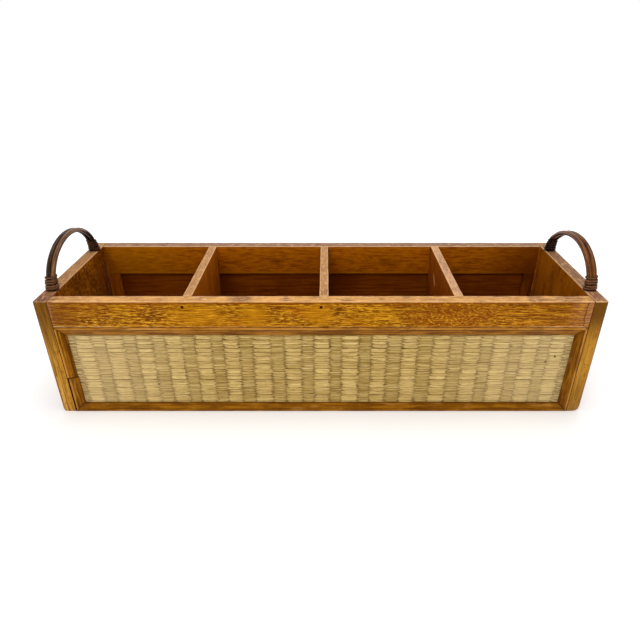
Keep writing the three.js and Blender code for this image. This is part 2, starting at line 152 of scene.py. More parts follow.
class CaddyWoodSettings(PropertyGroup):
    rim_arris: length("Rim arris", "Width of the worn arrises round the rims", 1.1 * MM)
    joint_arris: length("Joint arris", "Width of the arrises along the joints", 0.22 * MM)
    uneven: length("Unevenness", "How far an arris wanders from its line", 0.3 * MM)
    cut_spacing: length("Cut spacing", "Distance between cuts where an arris wanders", 17 * MM)
    bead_width: length("Glue bead", "Width of the glue beads in the inner corners", 1.6 * MM)
    bead_cuts: length("Bead cuts", "Distance between cuts where a glue bead wavers", 5 * MM)
    line_cuts: length("Line cuts", "Distance between cuts where a glue line wavers", 6 * MM)
    stopping_depth: length("Stopping depth", "Thickness of the stopping", 0.24 * MM)
    stopping_overlap: length("Stopping overlap", "From nail head to stopping's edge", 0.25 * MM)
    # Rail dark is also the painted shade under the outer top arrises of the rails.
    rail_dark: colour("Rail dark", "Dark streaks of the rail varnish", 98, 44, 0)
    rail_gold: colour("Rail gold", "Golden ground of the rail varnish", 170, 90, 1)
    # Rail sun is also the painted light along the inner faces' feet and towards their left ends.
    rail_sun: colour("Rail sun", "Sunny places of the rail varnish", 190, 122, 1)
    # Rail fleck colours pale grain and grit, and the painted glints of the varnish.
    rail_fleck: colour("Rail fleck", "Pale flecks along the rail's grain", 250, 180, 40)
    # Inner dark is also the painted shade under the rails' top arrises.
    inner_dark: colour("Inner dark", "Streaks of the rails' inner faces", 142, 70, 2)
    inner_gold: colour("Inner gold", "Ground of the rails' inner faces", 194, 110, 6)
    front_rim: colour("Front rim", "Worn top of the front rail", 226, 166, 92)
    rear_rim: colour("Rear rim", "Worn top of the rear rail", 144, 112, 92)
    divider_rim: colour("Divider rim", "Worn tops of the dividers", 184, 134, 84)
    right_divider_rim: colour(
        "Right divider rim", "Worn top of the right divider", 204, 156, 116
    )
    left_rim: colour("Left rim", "Worn top of the left end board", 182, 130, 80)
    right_rim: colour("Right rim", "Worn top of the right end board", 160, 116, 82)
    # Rim pale is also the painted highlight along the arrises of the rims and the rails' lower
    # arrises.
    rim_pale: colour("Rim pale", "Arrises of the rims", 240, 190, 134)
    rim_stain: colour("Rim stain", "Grey-purple stains on the rims", 100, 62, 54)
    rim_pink: colour("Rim pink", "Old glue at the ends of the top rails", 178, 116, 84)
    # Post dark is also the painted shade towards the end boards' outer faces.
    post_dark: colour("Post dark", "Dark streaks of the end boards' upright edges", 82, 42, 4)
    post_gold: colour("Post gold", "Ground of the end boards' upright edges", 194, 136, 44)
    post_pale: colour("Post pale", "Pale streaks of the end boards' upright edges", 232, 178, 92)
    end_dark: colour("End face dark", "Dark mottling of the end boards' faces", 92, 40, 3)
    end_gold: colour("End face gold", "Ground of the end boards' faces", 168, 94, 9)
    # Divider dark is also the painted shade at the right end of the rails' inner faces.
    divider_dark: colour("Divider dark", "Dark streaks of the dividers' faces", 100, 42, 4)
    divider_gold: colour("Divider gold", "Ground of the dividers' faces", 172, 86, 9)
    panel_dark: colour("Panel dark", "Dark streaks of the backing panels", 92, 34, 2)
    panel_brown: colour("Panel brown", "Ground of the backing panels", 138, 70, 5)
    moulding_dark: colour("Moulding dark", "Dark streaks of the moulding", 108, 60, 4)
    moulding_gold: colour("Moulding gold", "Ground of the moulding", 184, 120, 24)
    # Moulding lip is worn wood and also the painted highlight of the bead.
    moulding_lip: colour("Moulding lip", "Worn bead of the moulding", 196, 136, 66)
    # Seam is also the painted shade behind the mouldings' beads and over their inner halves and
    # edges.
    seam: colour("Seam", "Grime in the joints", 74, 36, 8)
    # Painted shade: the right stiles are darkened as the right-hand corners lie in shade.
    right_stile_shade: colour("Right stile dark", "Dark streaks of the right stiles", 60, 20, 2)
    nail_dark: colour("Nail dark", "Dark rust of the nail heads", 52, 12, 2)
    nail_brown: colour("Nail brown", "Pale rust of the nail heads", 84, 36, 12)


class CaddyMatSettings(PropertyGroup):
    light_band: length("Light band", "Mean width of a band of broad straws", 17.4 * MM)
    dark_band: length("Dark band", "Mean width of a band of narrow straws", 14.6 * MM)
    edge_band: length("Edge band", "Width of the cut bands at the two ends", 7.3 * MM)
    straw_pitch: length("Straw pitch", "Mean height of a broad straw", 3.1 * MM)
    crest: length("Crest", "How far the straws stand proud of the plain mat", 0.6 * MM)
    straw_light: colour("Straw light", "Pale straws", 238, 206, 130)
    straw_dark: colour("Straw dark", "Dull straws", 172, 138, 66)
    # Straw grime and shade is also the painted shade where the straws meet and dive under.
    straw_grime_and_shade: colour("Straw gap", "Grime where the straws meet and dive under", 100, 70, 20)
    straw_pale: colour("Straw pale", "Bleached tint towards the mats' ends", 240, 214, 164)
    straw_pink: colour("Straw pink", "Tint of the odd pinkish straw", 206, 164, 116)
    dot_brown: colour("Dot brown", "Small dark dots in the front mat", 36, 20, 6)


class CaddyHandleSettings(PropertyGroup):
    node_spacing: length("Node spacing", "Distance between a cane's nodes", 62 * MM)
    cane_gap: length("Cane gap", "Gap between the two canes of a handle", 0.04 * MM)
    strand_width: length("Strand width", "Height of a binding strand", 2.45 * MM)
    strand_thick: length("Strand thickness", "Thickness of a front binding's strand", 1.6 * MM)
    rear_thick: length("Rear strand thickness", "Thickness of a rear binding's strand", 1.15 * MM)
    strand_flare: length("Flare", "How far a front binding widens at its base", 0.95 * MM)
    rear_flare: length("Rear flare", "How far a rear binding widens at its base", 1.3 * MM)
    band_gap: length("Band gap", "Gap between the bands of a binding", 1.1 * MM)
    collar_reach: length("Collar reach", "From the canes to the ring of old glue", 1.2 * MM)
    collar_width: length("Collar width", "Width of the ring of old glue", 1.5 * MM)
    turns: IntProperty(name="Turns", description="Turns in a binding", default=5, min=1)
    cane_dark: colour("Cane dark", "Dark streaks of the left outer cane", 24, 15, 8)
    cane_olive: colour("Cane olive", "Ground of the left outer cane", 78, 54, 35)
    cane_brown: colour("Cane brown", "Dark streaks of the left inner cane", 66, 37, 22)
    cane_tan: colour("Cane tan", "Ground of the left inner cane", 138, 98, 66)
    cane_red: colour("Cane red", "Dark streaks of the right handle's canes", 48, 20, 5)
    cane_orange: colour("Cane orange", "Ground of the right handle's canes", 132, 78, 34)
    binding_dark: colour("Binding dark", "Dark lines of the front bindings", 26, 11, 5)
    binding_brown: colour("Binding brown", "Ground of the front bindings", 138, 92, 60)
    shade_dark: colour("Rear binding dark", "Dark lines of the rear bindings", 10, 4, 3)
    shade_brown: colour("Right rear binding", "Ground of the right rear binding", 40, 17, 10)
    shade_worn: colour("Left rear binding", "Ground of the left rear binding", 88, 48, 30)
    binding_glint: colour("Binding glint", "Pale lines of the rear bindings", 150, 112, 84)
    # The colour that the canes darken to towards their rear feet.
    cane_foot: colour("Cane foot", "Grime at the rear feet of the canes", 14, 6, 4)
    glue_dark: colour("Old glue dark", "Dark lines of the old glue round a foot", 16, 6, 4)
    glue_brown: colour("Old glue brown", "Ground of the old glue round a foot", 46, 18, 10)


class CaddyStageSettings(PropertyGroup):
    camera_place: position("Camera place", "Where the camera stands", 0.0060, -0.5904, 0.3968)
    camera_dip: FloatProperty(
        name="Camera dip", description="How far the camera looks down", subtype="ANGLE",
        default=math.radians(28.64), unit="ROTATION",
    )
    camera_lens: FloatProperty(
        name="Lens", description="Focal length on a 36 mm sensor", default=29.905, min=1.0,
        unit="CAMERA",
    )
    camera_shift: FloatProperty(
        name="Shift", description="How far the view is slid sideways, as a share of its width",
        default=-0.0098,
    )
    ambient: factor("Ambient", "Strength of the even light from all round", 0.62)
    lamp_aim: position("Lamp aim", "Where both lamps point", 0.0, 0.0, 0.08)
    key_place: position("Key place", "Where the lamp before the caddy hangs", -0.7, -1.9, 1.9)
    key_size: length("Key size", "Width of the lamp before the caddy", 1.6)
    key_power: FloatProperty(
        name="Key power", description="Power of the lamp before the caddy, in watts",
        default=17.0, min=0.0, unit="POWER",
    )
    top_place: position("Top place", "Where the lamp overhead hangs", 0.15, 0.25, 2.0)
    top_size: length("Top size", "Width of the lamp overhead", 1.5)
    top_power: FloatProperty(
        name="Top power", description="Power of the lamp overhead, in watts",
        default=15.0, min=0.0, unit="POWER",
    )
    floor_size: length("Floor size", "Width of the pale floor", 6.0)
    near_lift: factor("Near lift", "White that the camera adds to the floor at the caddy", 0.22)
    far_lift: factor("Far lift", "White that the camera adds to the floor far off", 0.60)
    near_reach: length("Near reach", "How far from the middle the near lift reaches", 0.35)
    far_reach: length("Far reach", "How far from the middle the far lift begins", 1.3)


class Finish:
    """A procedural material in the making, with short ways to add the nodes that finishes share."""

    def __init__(self, name, seed=0.0):
        self.material = bpy.data.materials.new(name)
        self.material.use_nodes = True
        self.tree = self.material.node_tree
        self.surface = self.tree.nodes["Principled BSDF"]
        self.place = self.add("ShaderNodeTexCoord").outputs["Object"]
        self.x, self.y, self.z = self.add("ShaderNodeSeparateXYZ", Vector=self.place).outputs
        self.seed = seed
        self.ragged = None

    def add(self, kind, settings=(), **inputs):
        """A new node, with settings of its own and a value or a link for each input named."""
        node = self.tree.nodes.new(kind)
        for key, value in dict(settings).items():
            setattr(node, key, value)
        for key, value in inputs.items():
            self.put(node.inputs[key], value)
        return node

    def put(self, socket, value):
        """Links an output to a socket, or sets the socket's own value."""
        if isinstance(value, bpy.types.NodeSocket):
            self.tree.links.new(value, socket)
        elif socket.type == "RGBA" and len(value) == 3:
            socket.default_value = (*value, 1.0)
        else:
            socket.default_value = value

    def math(self, operation, *values):
        node = self.add("ShaderNodeMath", {"operation": operation})
        for socket, value in zip(node.inputs, values):
            self.put(socket, value)
        return node.outputs["Value"]

    def product(self, first, *others):
        for other in others:
            first = self.math("MULTIPLY", first, other)
        return first

    def most(self, first, *others):
        for other in others:
            first = self.math("MAXIMUM", first, other)
        return first

    def least(self, first, second):
        return self.math("MINIMUM", first, second)

    def less(self, first, second):
        return self.math("SUBTRACT", first, second)

    def off(self, value, middle):
        """How far a value is from a middle one, either way."""
        return self.math("ABSOLUTE", self.less(value, middle))

    def span(self, value, low, high, to_low=0.0, to_high=1.0):
        """The value's way from low to high, eased and held at both ends."""
        node = self.add("ShaderNodeMapRange", {"interpolation_type": "SMOOTHSTEP"}, Value=value)
        ends = zip(("From Min", "From Max", "To Min", "To Max"), (low, high, to_low, to_high))
        for key, number in ends:
            self.put(node.inputs[key], number)
        return node.outputs["Result"]

    def noise(self, scales, detail=3.0, roughness=0.55, distortion=0.0, shift=0.0):
        """Noise on the piece's own place, with that many features to a metre along X, Y and Z."""
        spread = self.add("ShaderNodeVectorMath", {"operation": "MULTIPLY_ADD"})
        for socket, value in zip(spread.inputs, (self.place, scales, (self.seed, shift, shift))):
            self.put(socket, value)
        node = self.add(
            "ShaderNodeTexNoise", Vector=spread.outputs["Vector"], Scale=1.0, Detail=detail,
            Roughness=roughness, Distortion=distortion,
        )
        return node.outputs["Fac"]

    def mix(self, share, under, over):
        node = self.add("ShaderNodeMix", {"data_type": "RGBA"})
        self.put(node.inputs[MIX_SHARE], share)
        self.put(node.inputs[MIX_UNDER], under)
        self.put(node.inputs[MIX_OVER], over)
        return node.outputs[MIX_RESULT]

    def lay(self, under, over, value, low, high, most=1.0):
        """A colour laid over another one, up to a share, as a value goes from low to high."""
        return self.mix(self.span(value, low, high, 0.0, most), under, over)

    def spot(self, centre, halves, ragged=0.0):
        """1 inside an ellipsoid that fades out at its edge, which may be ragged."""
        away = self.add("ShaderNodeVectorMath", {"operation": "SUBTRACT"})
        self.put(away.inputs[0], self.place)
        self.put(away.inputs[1], centre)
        shrunk = self.add("ShaderNodeVectorMath", {"operation": "DIVIDE"})
        self.put(shrunk.inputs[0], away.outputs["Vector"])
        self.put(shrunk.inputs[1], halves)
        reach = self.add("ShaderNodeVectorMath", {"operation": "LENGTH"})
        self.put(reach.inputs[0], shrunk.outputs["Vector"])
        distance = reach.outputs["Value"]
        if ragged:
            if self.ragged is None:
                self.ragged = self.noise((150, 150, 190), detail=4, roughness=0.65)
            distance = self.math("MULTIPLY_ADD", self.ragged, ragged, distance)
        return self.span(distance, 1.12 + ragged / 2, 0.45 + ragged / 2)

    def spots(self, places, y, z, half_y, half_z, ragged=0.8):
        """The largest of several ragged spots in a row along X, given by middle and half width."""
        return self.most(*[
            self.spot((place * MM, y, z), (half * MM, half_y, half_z), ragged)
            for place, half in places
        ])

    def arris(self, box, width):
        """1 along the edges of a box, where two of its faces are near."""
        gaps = []
        for at, low, high in zip((self.x, self.y, self.z), *box):
            gaps.append(self.least(self.less(at, low), self.less(high, at)))
        fewer = self.least(gaps[0], gaps[1])
        more = self.most(gaps[0], gaps[1])
        second = self.most(fewer, self.least(more, gaps[2]))
        wander = self.noise((150, 150, 150), detail=3)
        second = self.math("MULTIPLY_ADD", wander, -width * 0.8, second)
        return self.span(second, width * 0.5, -width * 0.15)

    def bump(self, height, depth):
        node = self.add("ShaderNodeBump", Height=height, Strength=1.0, Distance=depth)
        self.put(self.surface.inputs["Normal"], node.outputs["Normal"])

    def done(self, base, roughness, shine=0.5, tint=VARNISH_TINT):
        self.put(self.surface.inputs["Base Color"], base)
        self.put(self.surface.inputs["Roughness"], roughness)
        self.put(self.surface.inputs["Specular IOR Level"], shine)
        self.put(self.surface.inputs["Specular Tint"], tint)
        return self.material

    def done_worn(self, base, gloss, top, matte, shine):
        """Ends the finish of a piece with a dull worn top and with matte places in its joints."""
        shine = self.product(self.less(1.0, matte), self.span(top, 0.0, 1.0, shine, WORN_SHINE))
        return self.done(base, self.most(gloss, self.product(top, WORN_ROUGHNESS)), shine)


def worn_rim(finish, under, box, look, along, ground, stains=()):
    """Lays the worn, bare-looking wood of a rim over a piece's colour, with pale arrises that are
    worn and carry a painted highlight too. Also gives its mask.
    """
    scales = (50, 900, 60) if along == "x" else (760, 120, 60)
    streak = finish.noise(scales, detail=4, roughness=0.7, distortion=0.25)
    cloud = finish.noise((34, 34, 34), detail=4, roughness=0.6, shift=3.0)
    amount = 0.8 if along == "x" and stains else 0.5
    worn = finish.lay(ground, look.rim_stain, streak, 0.52, 0.36, amount)
    worn = finish.lay(worn, look.rim_stain, cloud, 0.48, 0.70, 0.45)
    scales = (110, 400, 90) if along == "x" else (400, 110, 90)
    fleck = finish.noise(scales, detail=3, roughness=0.65, shift=5.0)
    worn = finish.lay(worn, look.rim_pale, fleck, 0.53, 0.64, amount)
    scales = (90, 260, 110) if along == "x" else (260, 90, 110)
    smear = finish.noise(scales, detail=4, roughness=0.7, shift=9.0)
    marks = finish.span(smear, 0.58, 0.70, 0.0, amount * 0.7)
    for x, y, half_x, half_y, depth in stains:
        centre, halves = (x * MM, y * MM, box[1].z), (half_x * MM, half_y * MM, 9 * MM)
        blotch = finish.product(finish.spot(centre, halves, ragged=1.1), depth)
        mottle = finish.span(fleck, 0.62, 0.46, 0.45, 1.0)
        marks = finish.most(marks, finish.product(blotch, mottle))
    worn = finish.mix(marks, worn, look.rim_stain)
    # Pale worn arrises, with a painted highlight along them.
    edge = finish.product(finish.arris(box, 1.8 * MM), finish.span(marks, 0.7, 0.2, 0.25, 0.75))
    worn = finish.mix(edge, worn, look.rim_pale)
    mask = finish.span(finish.less(box[1].z, finish.z), 1.5 * MM, 0.6 * MM)
    return finish.mix(mask, under, worn), mask


class RailFinish(Finish):
    """A top rail's finish in the making, with the grain and distances that its faces share."""

    def __init__(self, side, seed, look):
        super().__init__(f"{side}_rail_varnish", seed)
        self.look = look
        self.front = side == "front"
        self.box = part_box(f"{side}_top_rail")
        low, high = self.box
        seam_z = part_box(f"{side}_moulding_top")[1].z
        self.face_y = low.y if self.front else high.y
        self.room = (self.face_y, (seam_z + high.z) / 2, 16 * MM, 20 * MM)
        self.streak = self.noise((14, 14, 520), detail=5, roughness=0.62, distortion=0.3)
        self.fleck = self.noise((160, 160, 1250), detail=3, roughness=0.55, distortion=0.3)
        self.dash = self.noise((95, 95, 780), detail=4, roughness=0.6, distortion=0.4, shift=4.0)
        self.wave = self.noise((18, 18, 50), detail=2, shift=5.0)
        self.cloud = self.noise((40, 40, 60), detail=4, roughness=0.65, shift=7.0)
        self.above_seam = self.less(self.z, seam_z)
        self.below_top = self.less(high.z, self.z)
        self.below_shade = self.math("MULTIPLY_ADD", self.dash, 5 * MM, self.below_top)
        self.from_end = self.least(self.less(self.x, low.x), self.less(high.x, self.x))

    def varnish(self):
        """The streaked ground of the outer face, and how busy its flecks are at each place."""
        look = self.look
        share = self.span(self.streak, 0.36, 0.58, 0.1, 1.0)
        ground = self.mix(share, look.rail_dark, look.rail_gold)
        ground = self.lay(ground, look.rail_gold, self.wave, 0.52, 0.68, 0.5)
        if not self.front:
            return ground, self.span(self.wave, 0.38, 0.6, 0.2, 0.85)
        gold = self.spots(RAIL_GOLD_PLACES, *self.room)
        ground = self.mix(self.product(gold, 0.8), ground, look.rail_sun)
        dull = self.spots(RAIL_DULL_PLACES, *self.room)
        ground = self.mix(self.product(dull, 0.42), ground, look.rail_dark)
        busy = self.less(1.0, self.product(self.spots(RAIL_CALM_PLACES, *self.room), 0.66))
        return ground, self.product(busy, self.span(self.wave, 0.36, 0.56, 0.55, 1.0))

    def outside(self):
        """The outer face with its dark and pale flecks, the pale ones grain and painted glints of the
        varnish, and painted shade under its top. Also gives the mask of the pale ones.
        """
        look, fleck, dash = self.look, self.fleck, self.dash
        ground, busy = self.varnish()
        ripple = self.noise((42, 42, 1150), detail=3, roughness=0.6, distortion=0.8, shift=11.0)
        dark = self.most(
            self.span(fleck, 0.50, 0.42, 0.0, 0.9), self.span(dash, 0.46, 0.36, 0.0, 0.5)
        )
        pale = self.most(self.span(fleck, 0.56, 0.61), self.span(dash, 0.58, 0.64, 0.0, 0.75))
        pale = self.product(pale, busy)
        outer = self.lay(ground, look.rail_dark, ripple, 0.48, 0.39, 0.8)
        outer = self.mix(self.product(dark, busy), outer, look.rail_dark)
        # Pale ripples and flecks: grain, and painted glints of the varnish.
        outer = self.lay(outer, look.rail_fleck, ripple, 0.55, 0.64, 0.65)
        outer = self.mix(pale, outer, look.rail_fleck)
        # Painted shade under the top arris: a ragged band, and a darker crease close under it.
        outer = self.lay(outer, look.rail_dark, self.below_shade, 7.0 * MM, 4.4 * MM, 0.6)
        crease = self.span(self.below_top, 3.1 * MM, 2.0 * MM)
        crease = self.product(crease, self.span(dash, 0.62, 0.46, 0.3, 0.8))
        return self.mix(crease, outer, look.inner_dark), pale

    def marked(self, outer):
        """The front rail's own marks: a gritty place, and a dark halo round each nail head."""
        look = self.look
        grit = self.noise((400, 400, 880), detail=2, shift=13.0)
        gritty = self.spots(RAIL_GRIT_PLACES, *self.room)
        outer = self.mix(self.product(gritty, 0.5), outer, look.inner_dark)
        specks = self.product(self.span(grit, 0.57, 0.67, 0.0, 0.65), gritty)
        outer = self.mix(specks, outer, look.rail_fleck)
        specks = self.product(self.span(grit, 0.46, 0.36, 0.0, 0.7), gritty)
        outer = self.mix(specks, outer, look.rail_dark)
        for place in ("left", "middle"):
            low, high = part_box(f"front_nail_{place}_divider")
            halo = self.spot((low + high) / 2, (3.6 * MM, 20 * MM, 3.2 * MM), ragged=0.8)
            outer = self.mix(self.product(halo, 0.55), outer, look.rail_dark)
        return outer

    def glued(self, outer):
        """Old glue at the front rail's ends, wide at the right one and with a dark line there."""
        look = self.look
        right = self.span(self.x, 0.0, MM)
        smear = self.math("MULTIPLY_ADD", self.cloud, 9 * MM, self.from_end)
        wide = self.product(self.span(smear, 10.6 * MM, 9.2 * MM, 0.0, 0.5), right)
        thin = self.span(smear, 8.0 * MM, 6.0 * MM, 0.0, 0.4)
        thin = self.product(thin, self.less(1.0, right))
        glue = self.product(
            self.most(wide, thin), self.span(self.above_seam, 2 * MM, 8 * MM),
            self.span(self.fleck, 0.4, 0.6, 0.5, 1.0),
        )
        haze = self.product(self.span(self.from_end, 30 * MM, 10 * MM, 0.0, 0.25), right)
        outer = self.mix(haze, outer, look.rim_pink)
        outer = self.lay(outer, look.rail_dark, self.x, -250 * MM, -275 * MM, 0.35)
        outer = self.mix(glue, outer, look.rim_pink)
        line = self.span(self.off(smear, 10.9 * MM), 1.1 * MM, 0.3 * MM, 0.0, 0.7)
        return self.mix(self.product(line, right), outer, look.seam)

    def inside(self):
        """The inner face: plainer, with a painted highlight along its foot, painted light towards its
        left end, and painted shade under its top and towards its right end.
        """
        look = self.look
        faint = self.noise((70, 70, 400), detail=5, roughness=0.65, distortion=0.3, shift=2.0)
        above_foot = self.less(self.z, self.box[0].z)
        inner = self.lay(look.inner_dark, look.inner_gold, faint, 0.30, 0.62)
        inner = self.lay(inner, look.end_dark, self.cloud, 0.50, 0.72, 0.45)
        # Painted light and shade: a highlight along the foot, shade under the top, light towards the
        # left end and shade towards the right one.
        inner = self.lay(inner, look.rail_sun, above_foot, 4.5 * MM, 1.5 * MM, 0.5)
        inner = self.lay(inner, look.inner_dark, self.below_shade, 5.6 * MM, 4.0 * MM, 0.5)
        inner = self.lay(inner, look.rail_sun, self.x, -150 * MM, -250 * MM, 0.35)
        return self.lay(inner, look.divider_dark, self.x, 190 * MM, 282 * MM, 0.7)


def rail_finish(side, seed, look):
    """Golden varnish over flecked wood outside, plainer inside, and a worn top."""
    rail = RailFinish(side, seed, look)
    outer, pale = rail.outside()
    if rail.front:
        outer = rail.glued(rail.marked(outer))
    # Painted highlight along the lower arris of the outer face, just over the seam.
    edge = rail.product(
        rail.span(rail.above_seam, 2.4 * MM, 1.2 * MM, 0.0, 0.65),
        rail.span(rail.dash, 0.42, 0.56, 0.1, 1.0),
        rail.span(rail.math("ABSOLUTE", rail.x), 190 * MM, 250 * MM, 0.25, 1.0),
    )
    outer = rail.mix(edge, outer, look.rim_pale)
    seam = rail.span(rail.above_seam, 0.9 * MM, 0.3 * MM)
    outer = rail.mix(rail.product(seam, 0.6), outer, look.seam)
    base = rail.lay(outer, rail.inside(), rail.off(rail.y, rail.face_y), 1 * MM, 5 * MM)
    ground, stains = (look.front_rim, FRONT_RIM_STAINS) if rail.front else (look.rear_rim, ())
    base, top = worn_rim(rail, base, rail.box, look, "x", ground, stains)
    joint = rail.span(rail.from_end, 0.4 * MM, 0.16 * MM)
    base = rail.mix(joint, base, look.seam)
    rail.bump(rail.math("ADD", pale, rail.product(rail.streak, 0.6)), 0.12 * MM)
    gloss = rail.span(rail.cloud, 0.3, 0.7, 0.30, 0.44)
    return rail.done_worn(base, gloss, top, rail.most(joint, seam), 0.34)


def upright_start(name, seed, look, dark, gold, mottle, contrast):
    """A finish and its colour so far: wood with its grain upright, mottled and flecked."""
    finish = Finish(name, seed)
    streak = finish.noise((420, 420, 22), detail=5, roughness=0.62, distortion=0.5)
    cloud = finish.noise((44, 44, 30), detail=5, roughness=0.7, shift=6.0)
    line = finish.noise((260, 260, 60), detail=4, roughness=0.65, distortion=0.6, shift=12.0)
    base = finish.mix(finish.span(streak, 0.34, 0.60, 1.0 - contrast, 1.0), dark, gold)
    base = finish.lay(base, dark, cloud, 0.42, 0.64, mottle)
    base = finish.lay(base, gold, line, 0.56, 0.68, 0.6 * contrast)
    fleck = finish.noise((600, 600, 170), detail=3, roughness=0.6, shift=19.0)
    base = finish.lay(base, look.post_gold, fleck, 0.58, 0.68, mottle * 0.6)
    finish.bump(streak, 0.12 * MM)
    return finish, base


def upright_done(finish, base, box, look, ground, joint, stains=()):
    """Ends an upright piece's finish with the worn wood of its top and the grime of its joints."""
    base, top = worn_rim(finish, base, box, look, "y", ground, stains)
    gloss = finish.span(finish.noise((36, 36, 22), shift=6.0), 0.3, 0.7, 0.34, 0.5)
    return finish.done_worn(finish.mix(joint, base, look.seam), gloss, top, joint, 0.3)


def sparked_inside(finish, base, box, look):
    """The left end board's inner face: redder to its rear, with pale sparks and dark specks."""
    inside = finish.span(finish.x, box[1].x - 2 * MM, box[1].x - MM)
    red = finish.product(finish.span(finish.y, 20 * MM, 62 * MM, 0.0, 0.6), inside)
    base = finish.mix(red, base, look.divider_dark)
    grit = finish.noise((260, 260, 240), detail=3, roughness=0.6, shift=25.0)
    sparks = finish.product(finish.span(grit, 0.56, 0.66, 0.0, 0.7), inside)
    base = finish.mix(sparks, base, look.post_gold)
    specks = finish.product(finish.span(grit, 0.46, 0.38, 0.0, 0.8), inside)
    return finish.mix(specks, base, look.end_dark)


def post_colour(finish, box, outward, look, left):
    """The streaked front and rear edges of an end board, dark at their tops and inner arrises, with
    painted shade where they round over to the outer faces.
    """
    line = finish.noise((460, 460, 14), detail=5, roughness=0.65, distortion=0.6, shift=8.0)
    pale = finish.noise((560, 560, 26), detail=3, roughness=0.6, distortion=0.7, shift=15.0)
    blotch = finish.noise((170, 170, 90), detail=4, roughness=0.7, shift=21.0)
    pore = finish.noise((520, 520, 190), detail=2, shift=31.0)
    share = finish.span(line, 0.38, 0.57, 0.3 if left else 0.65, 1.0)
    post = finish.mix(share, look.post_dark, look.post_gold)
    low = finish.span(finish.z, 110 * MM, 55 * MM, 0.15, 1.0 if left else 0.25)
    post = finish.mix(finish.product(finish.span(pale, 0.53, 0.61), low), post, look.post_pale)
    top, rise = box[1].z, (70 if left else 56) * MM
    darker = [
        (blotch, 0.54, 0.68, 0.6 if left else 0.35),
        (pore, 0.60, 0.70, 0.5),
        (finish.z, top - rise, top - rise / 4, 0.72 if left else 0.84),
        # Painted shade towards the outer face, where the edge rounds over.
        (outward, 4.0 * MM, 7.5 * MM, 0.5),
        (outward, -6.6 * MM, -7.3 * MM, 0.6),
    ]
    if not left:
        darker.append((finish.z, 62 * MM, 20 * MM, 0.35))
    for where in darker:
        post = finish.lay(post, look.post_dark, *where)
    for x, z, radius in () if left else PIN_HOLES:
        hole = finish.spot((x * MM, box[0].y, z * MM), (radius * MM, 3 * MM, radius * MM))
        post = finish.mix(hole, post, look.seam)
    return post


def end_finish(side, seed, look):
    """An end board: its faces as any upright piece's, its front and rear edges streaked."""
    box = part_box(f"{side}_end_board")
    left = side == "left"
    mottle, contrast = (0.8, 0.6) if left else (0.6, 0.3)
    finish, base = upright_start(
        f"{side}_end_varnish", seed, look, look.end_dark, look.end_gold, mottle, contrast
    )
    if left:
        base = sparked_inside(finish, base, box, look)
    outward = finish.less(finish.math("ABSOLUTE", finish.x), abs(box[0].x + box[1].x) / 2)
    post = post_colour(finish, box, outward, look, left)
    deep = finish.math("ABSOLUTE", finish.y)
    base = finish.lay(base, post, deep, box[1].y - 9 * MM, box[1].y - 5 * MM)
    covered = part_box("front_top_rail")[1].y
    joint = finish.product(
        finish.span(outward, -6.8 * MM, -7.2 * MM), finish.span(deep, -covered, MM - covered)
    )
    ground, stains = (
        (look.left_rim, LEFT_RIM_STAINS) if left else (look.right_rim, RIGHT_RIM_STAINS)
    )
    return upright_done(finish, base, box, look, ground, joint, stains)


def divider_finish(place, seed, look):
    """A divider with upright grain and a worn top. The right one has a pale scratch."""
    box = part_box(f"{place}_divider")
    finish, base = upright_start(
        f"{place}_divider_varnish", seed, look, look.divider_dark, look.divider_gold, 0.6, 1.0
    )
    shade, tint = (0.3, look.divider_dark) if place == "right" else (0.25, look.inner_gold)
    base = finish.mix(shade, base, tint)
    if place == "right":
        (y, z), (end_y, end_z) = SCRATCH_ENDS
        slope = (end_y - y) / (z - end_z)
        leaning = finish.math("MULTIPLY_ADD", finish.z, slope, finish.y)
        line = finish.off(leaning, (y + z * slope) * MM)
        middle = (box[0].x, (y + end_y) / 2 * MM, (z + end_z) / 2 * MM)
        room = finish.spot(middle, (4 * MM, 10 * MM, 14 * MM))
        scratch = finish.product(finish.span(line, 3.2 * MM, 1.4 * MM), room)
        base = finish.mix(scratch, base, look.rim_pale)
    deep = finish.math("ABSOLUTE", finish.y)
    joint = finish.span(deep, box[1].y - 0.4 * MM, box[1].y - 0.15 * MM)
    ground = look.right_divider_rim if place == "right" else look.divider_rim
    return upright_done(finish, base, box, look, ground, joint)


def plain_finish(name, seed, dark, light, scales):
    """Varnished wood or old glue with streaks along one way, without worn places."""
    finish = Finish(name, seed)
    streak = finish.noise(scales, detail=5, roughness=0.62, distortion=0.4)
    cloud = finish.noise((22, 22, 22), detail=3, roughness=0.6, shift=3.0)
    base = finish.lay(dark, light, streak, 0.26, 0.68)
    base = finish.lay(base, dark, cloud, 0.42, 0.70, 0.6)
    finish.bump(streak, 0.1 * MM)
    return finish.done(base, finish.span(cloud, 0.3, 0.7, 0.40, 0.56), 0.15)


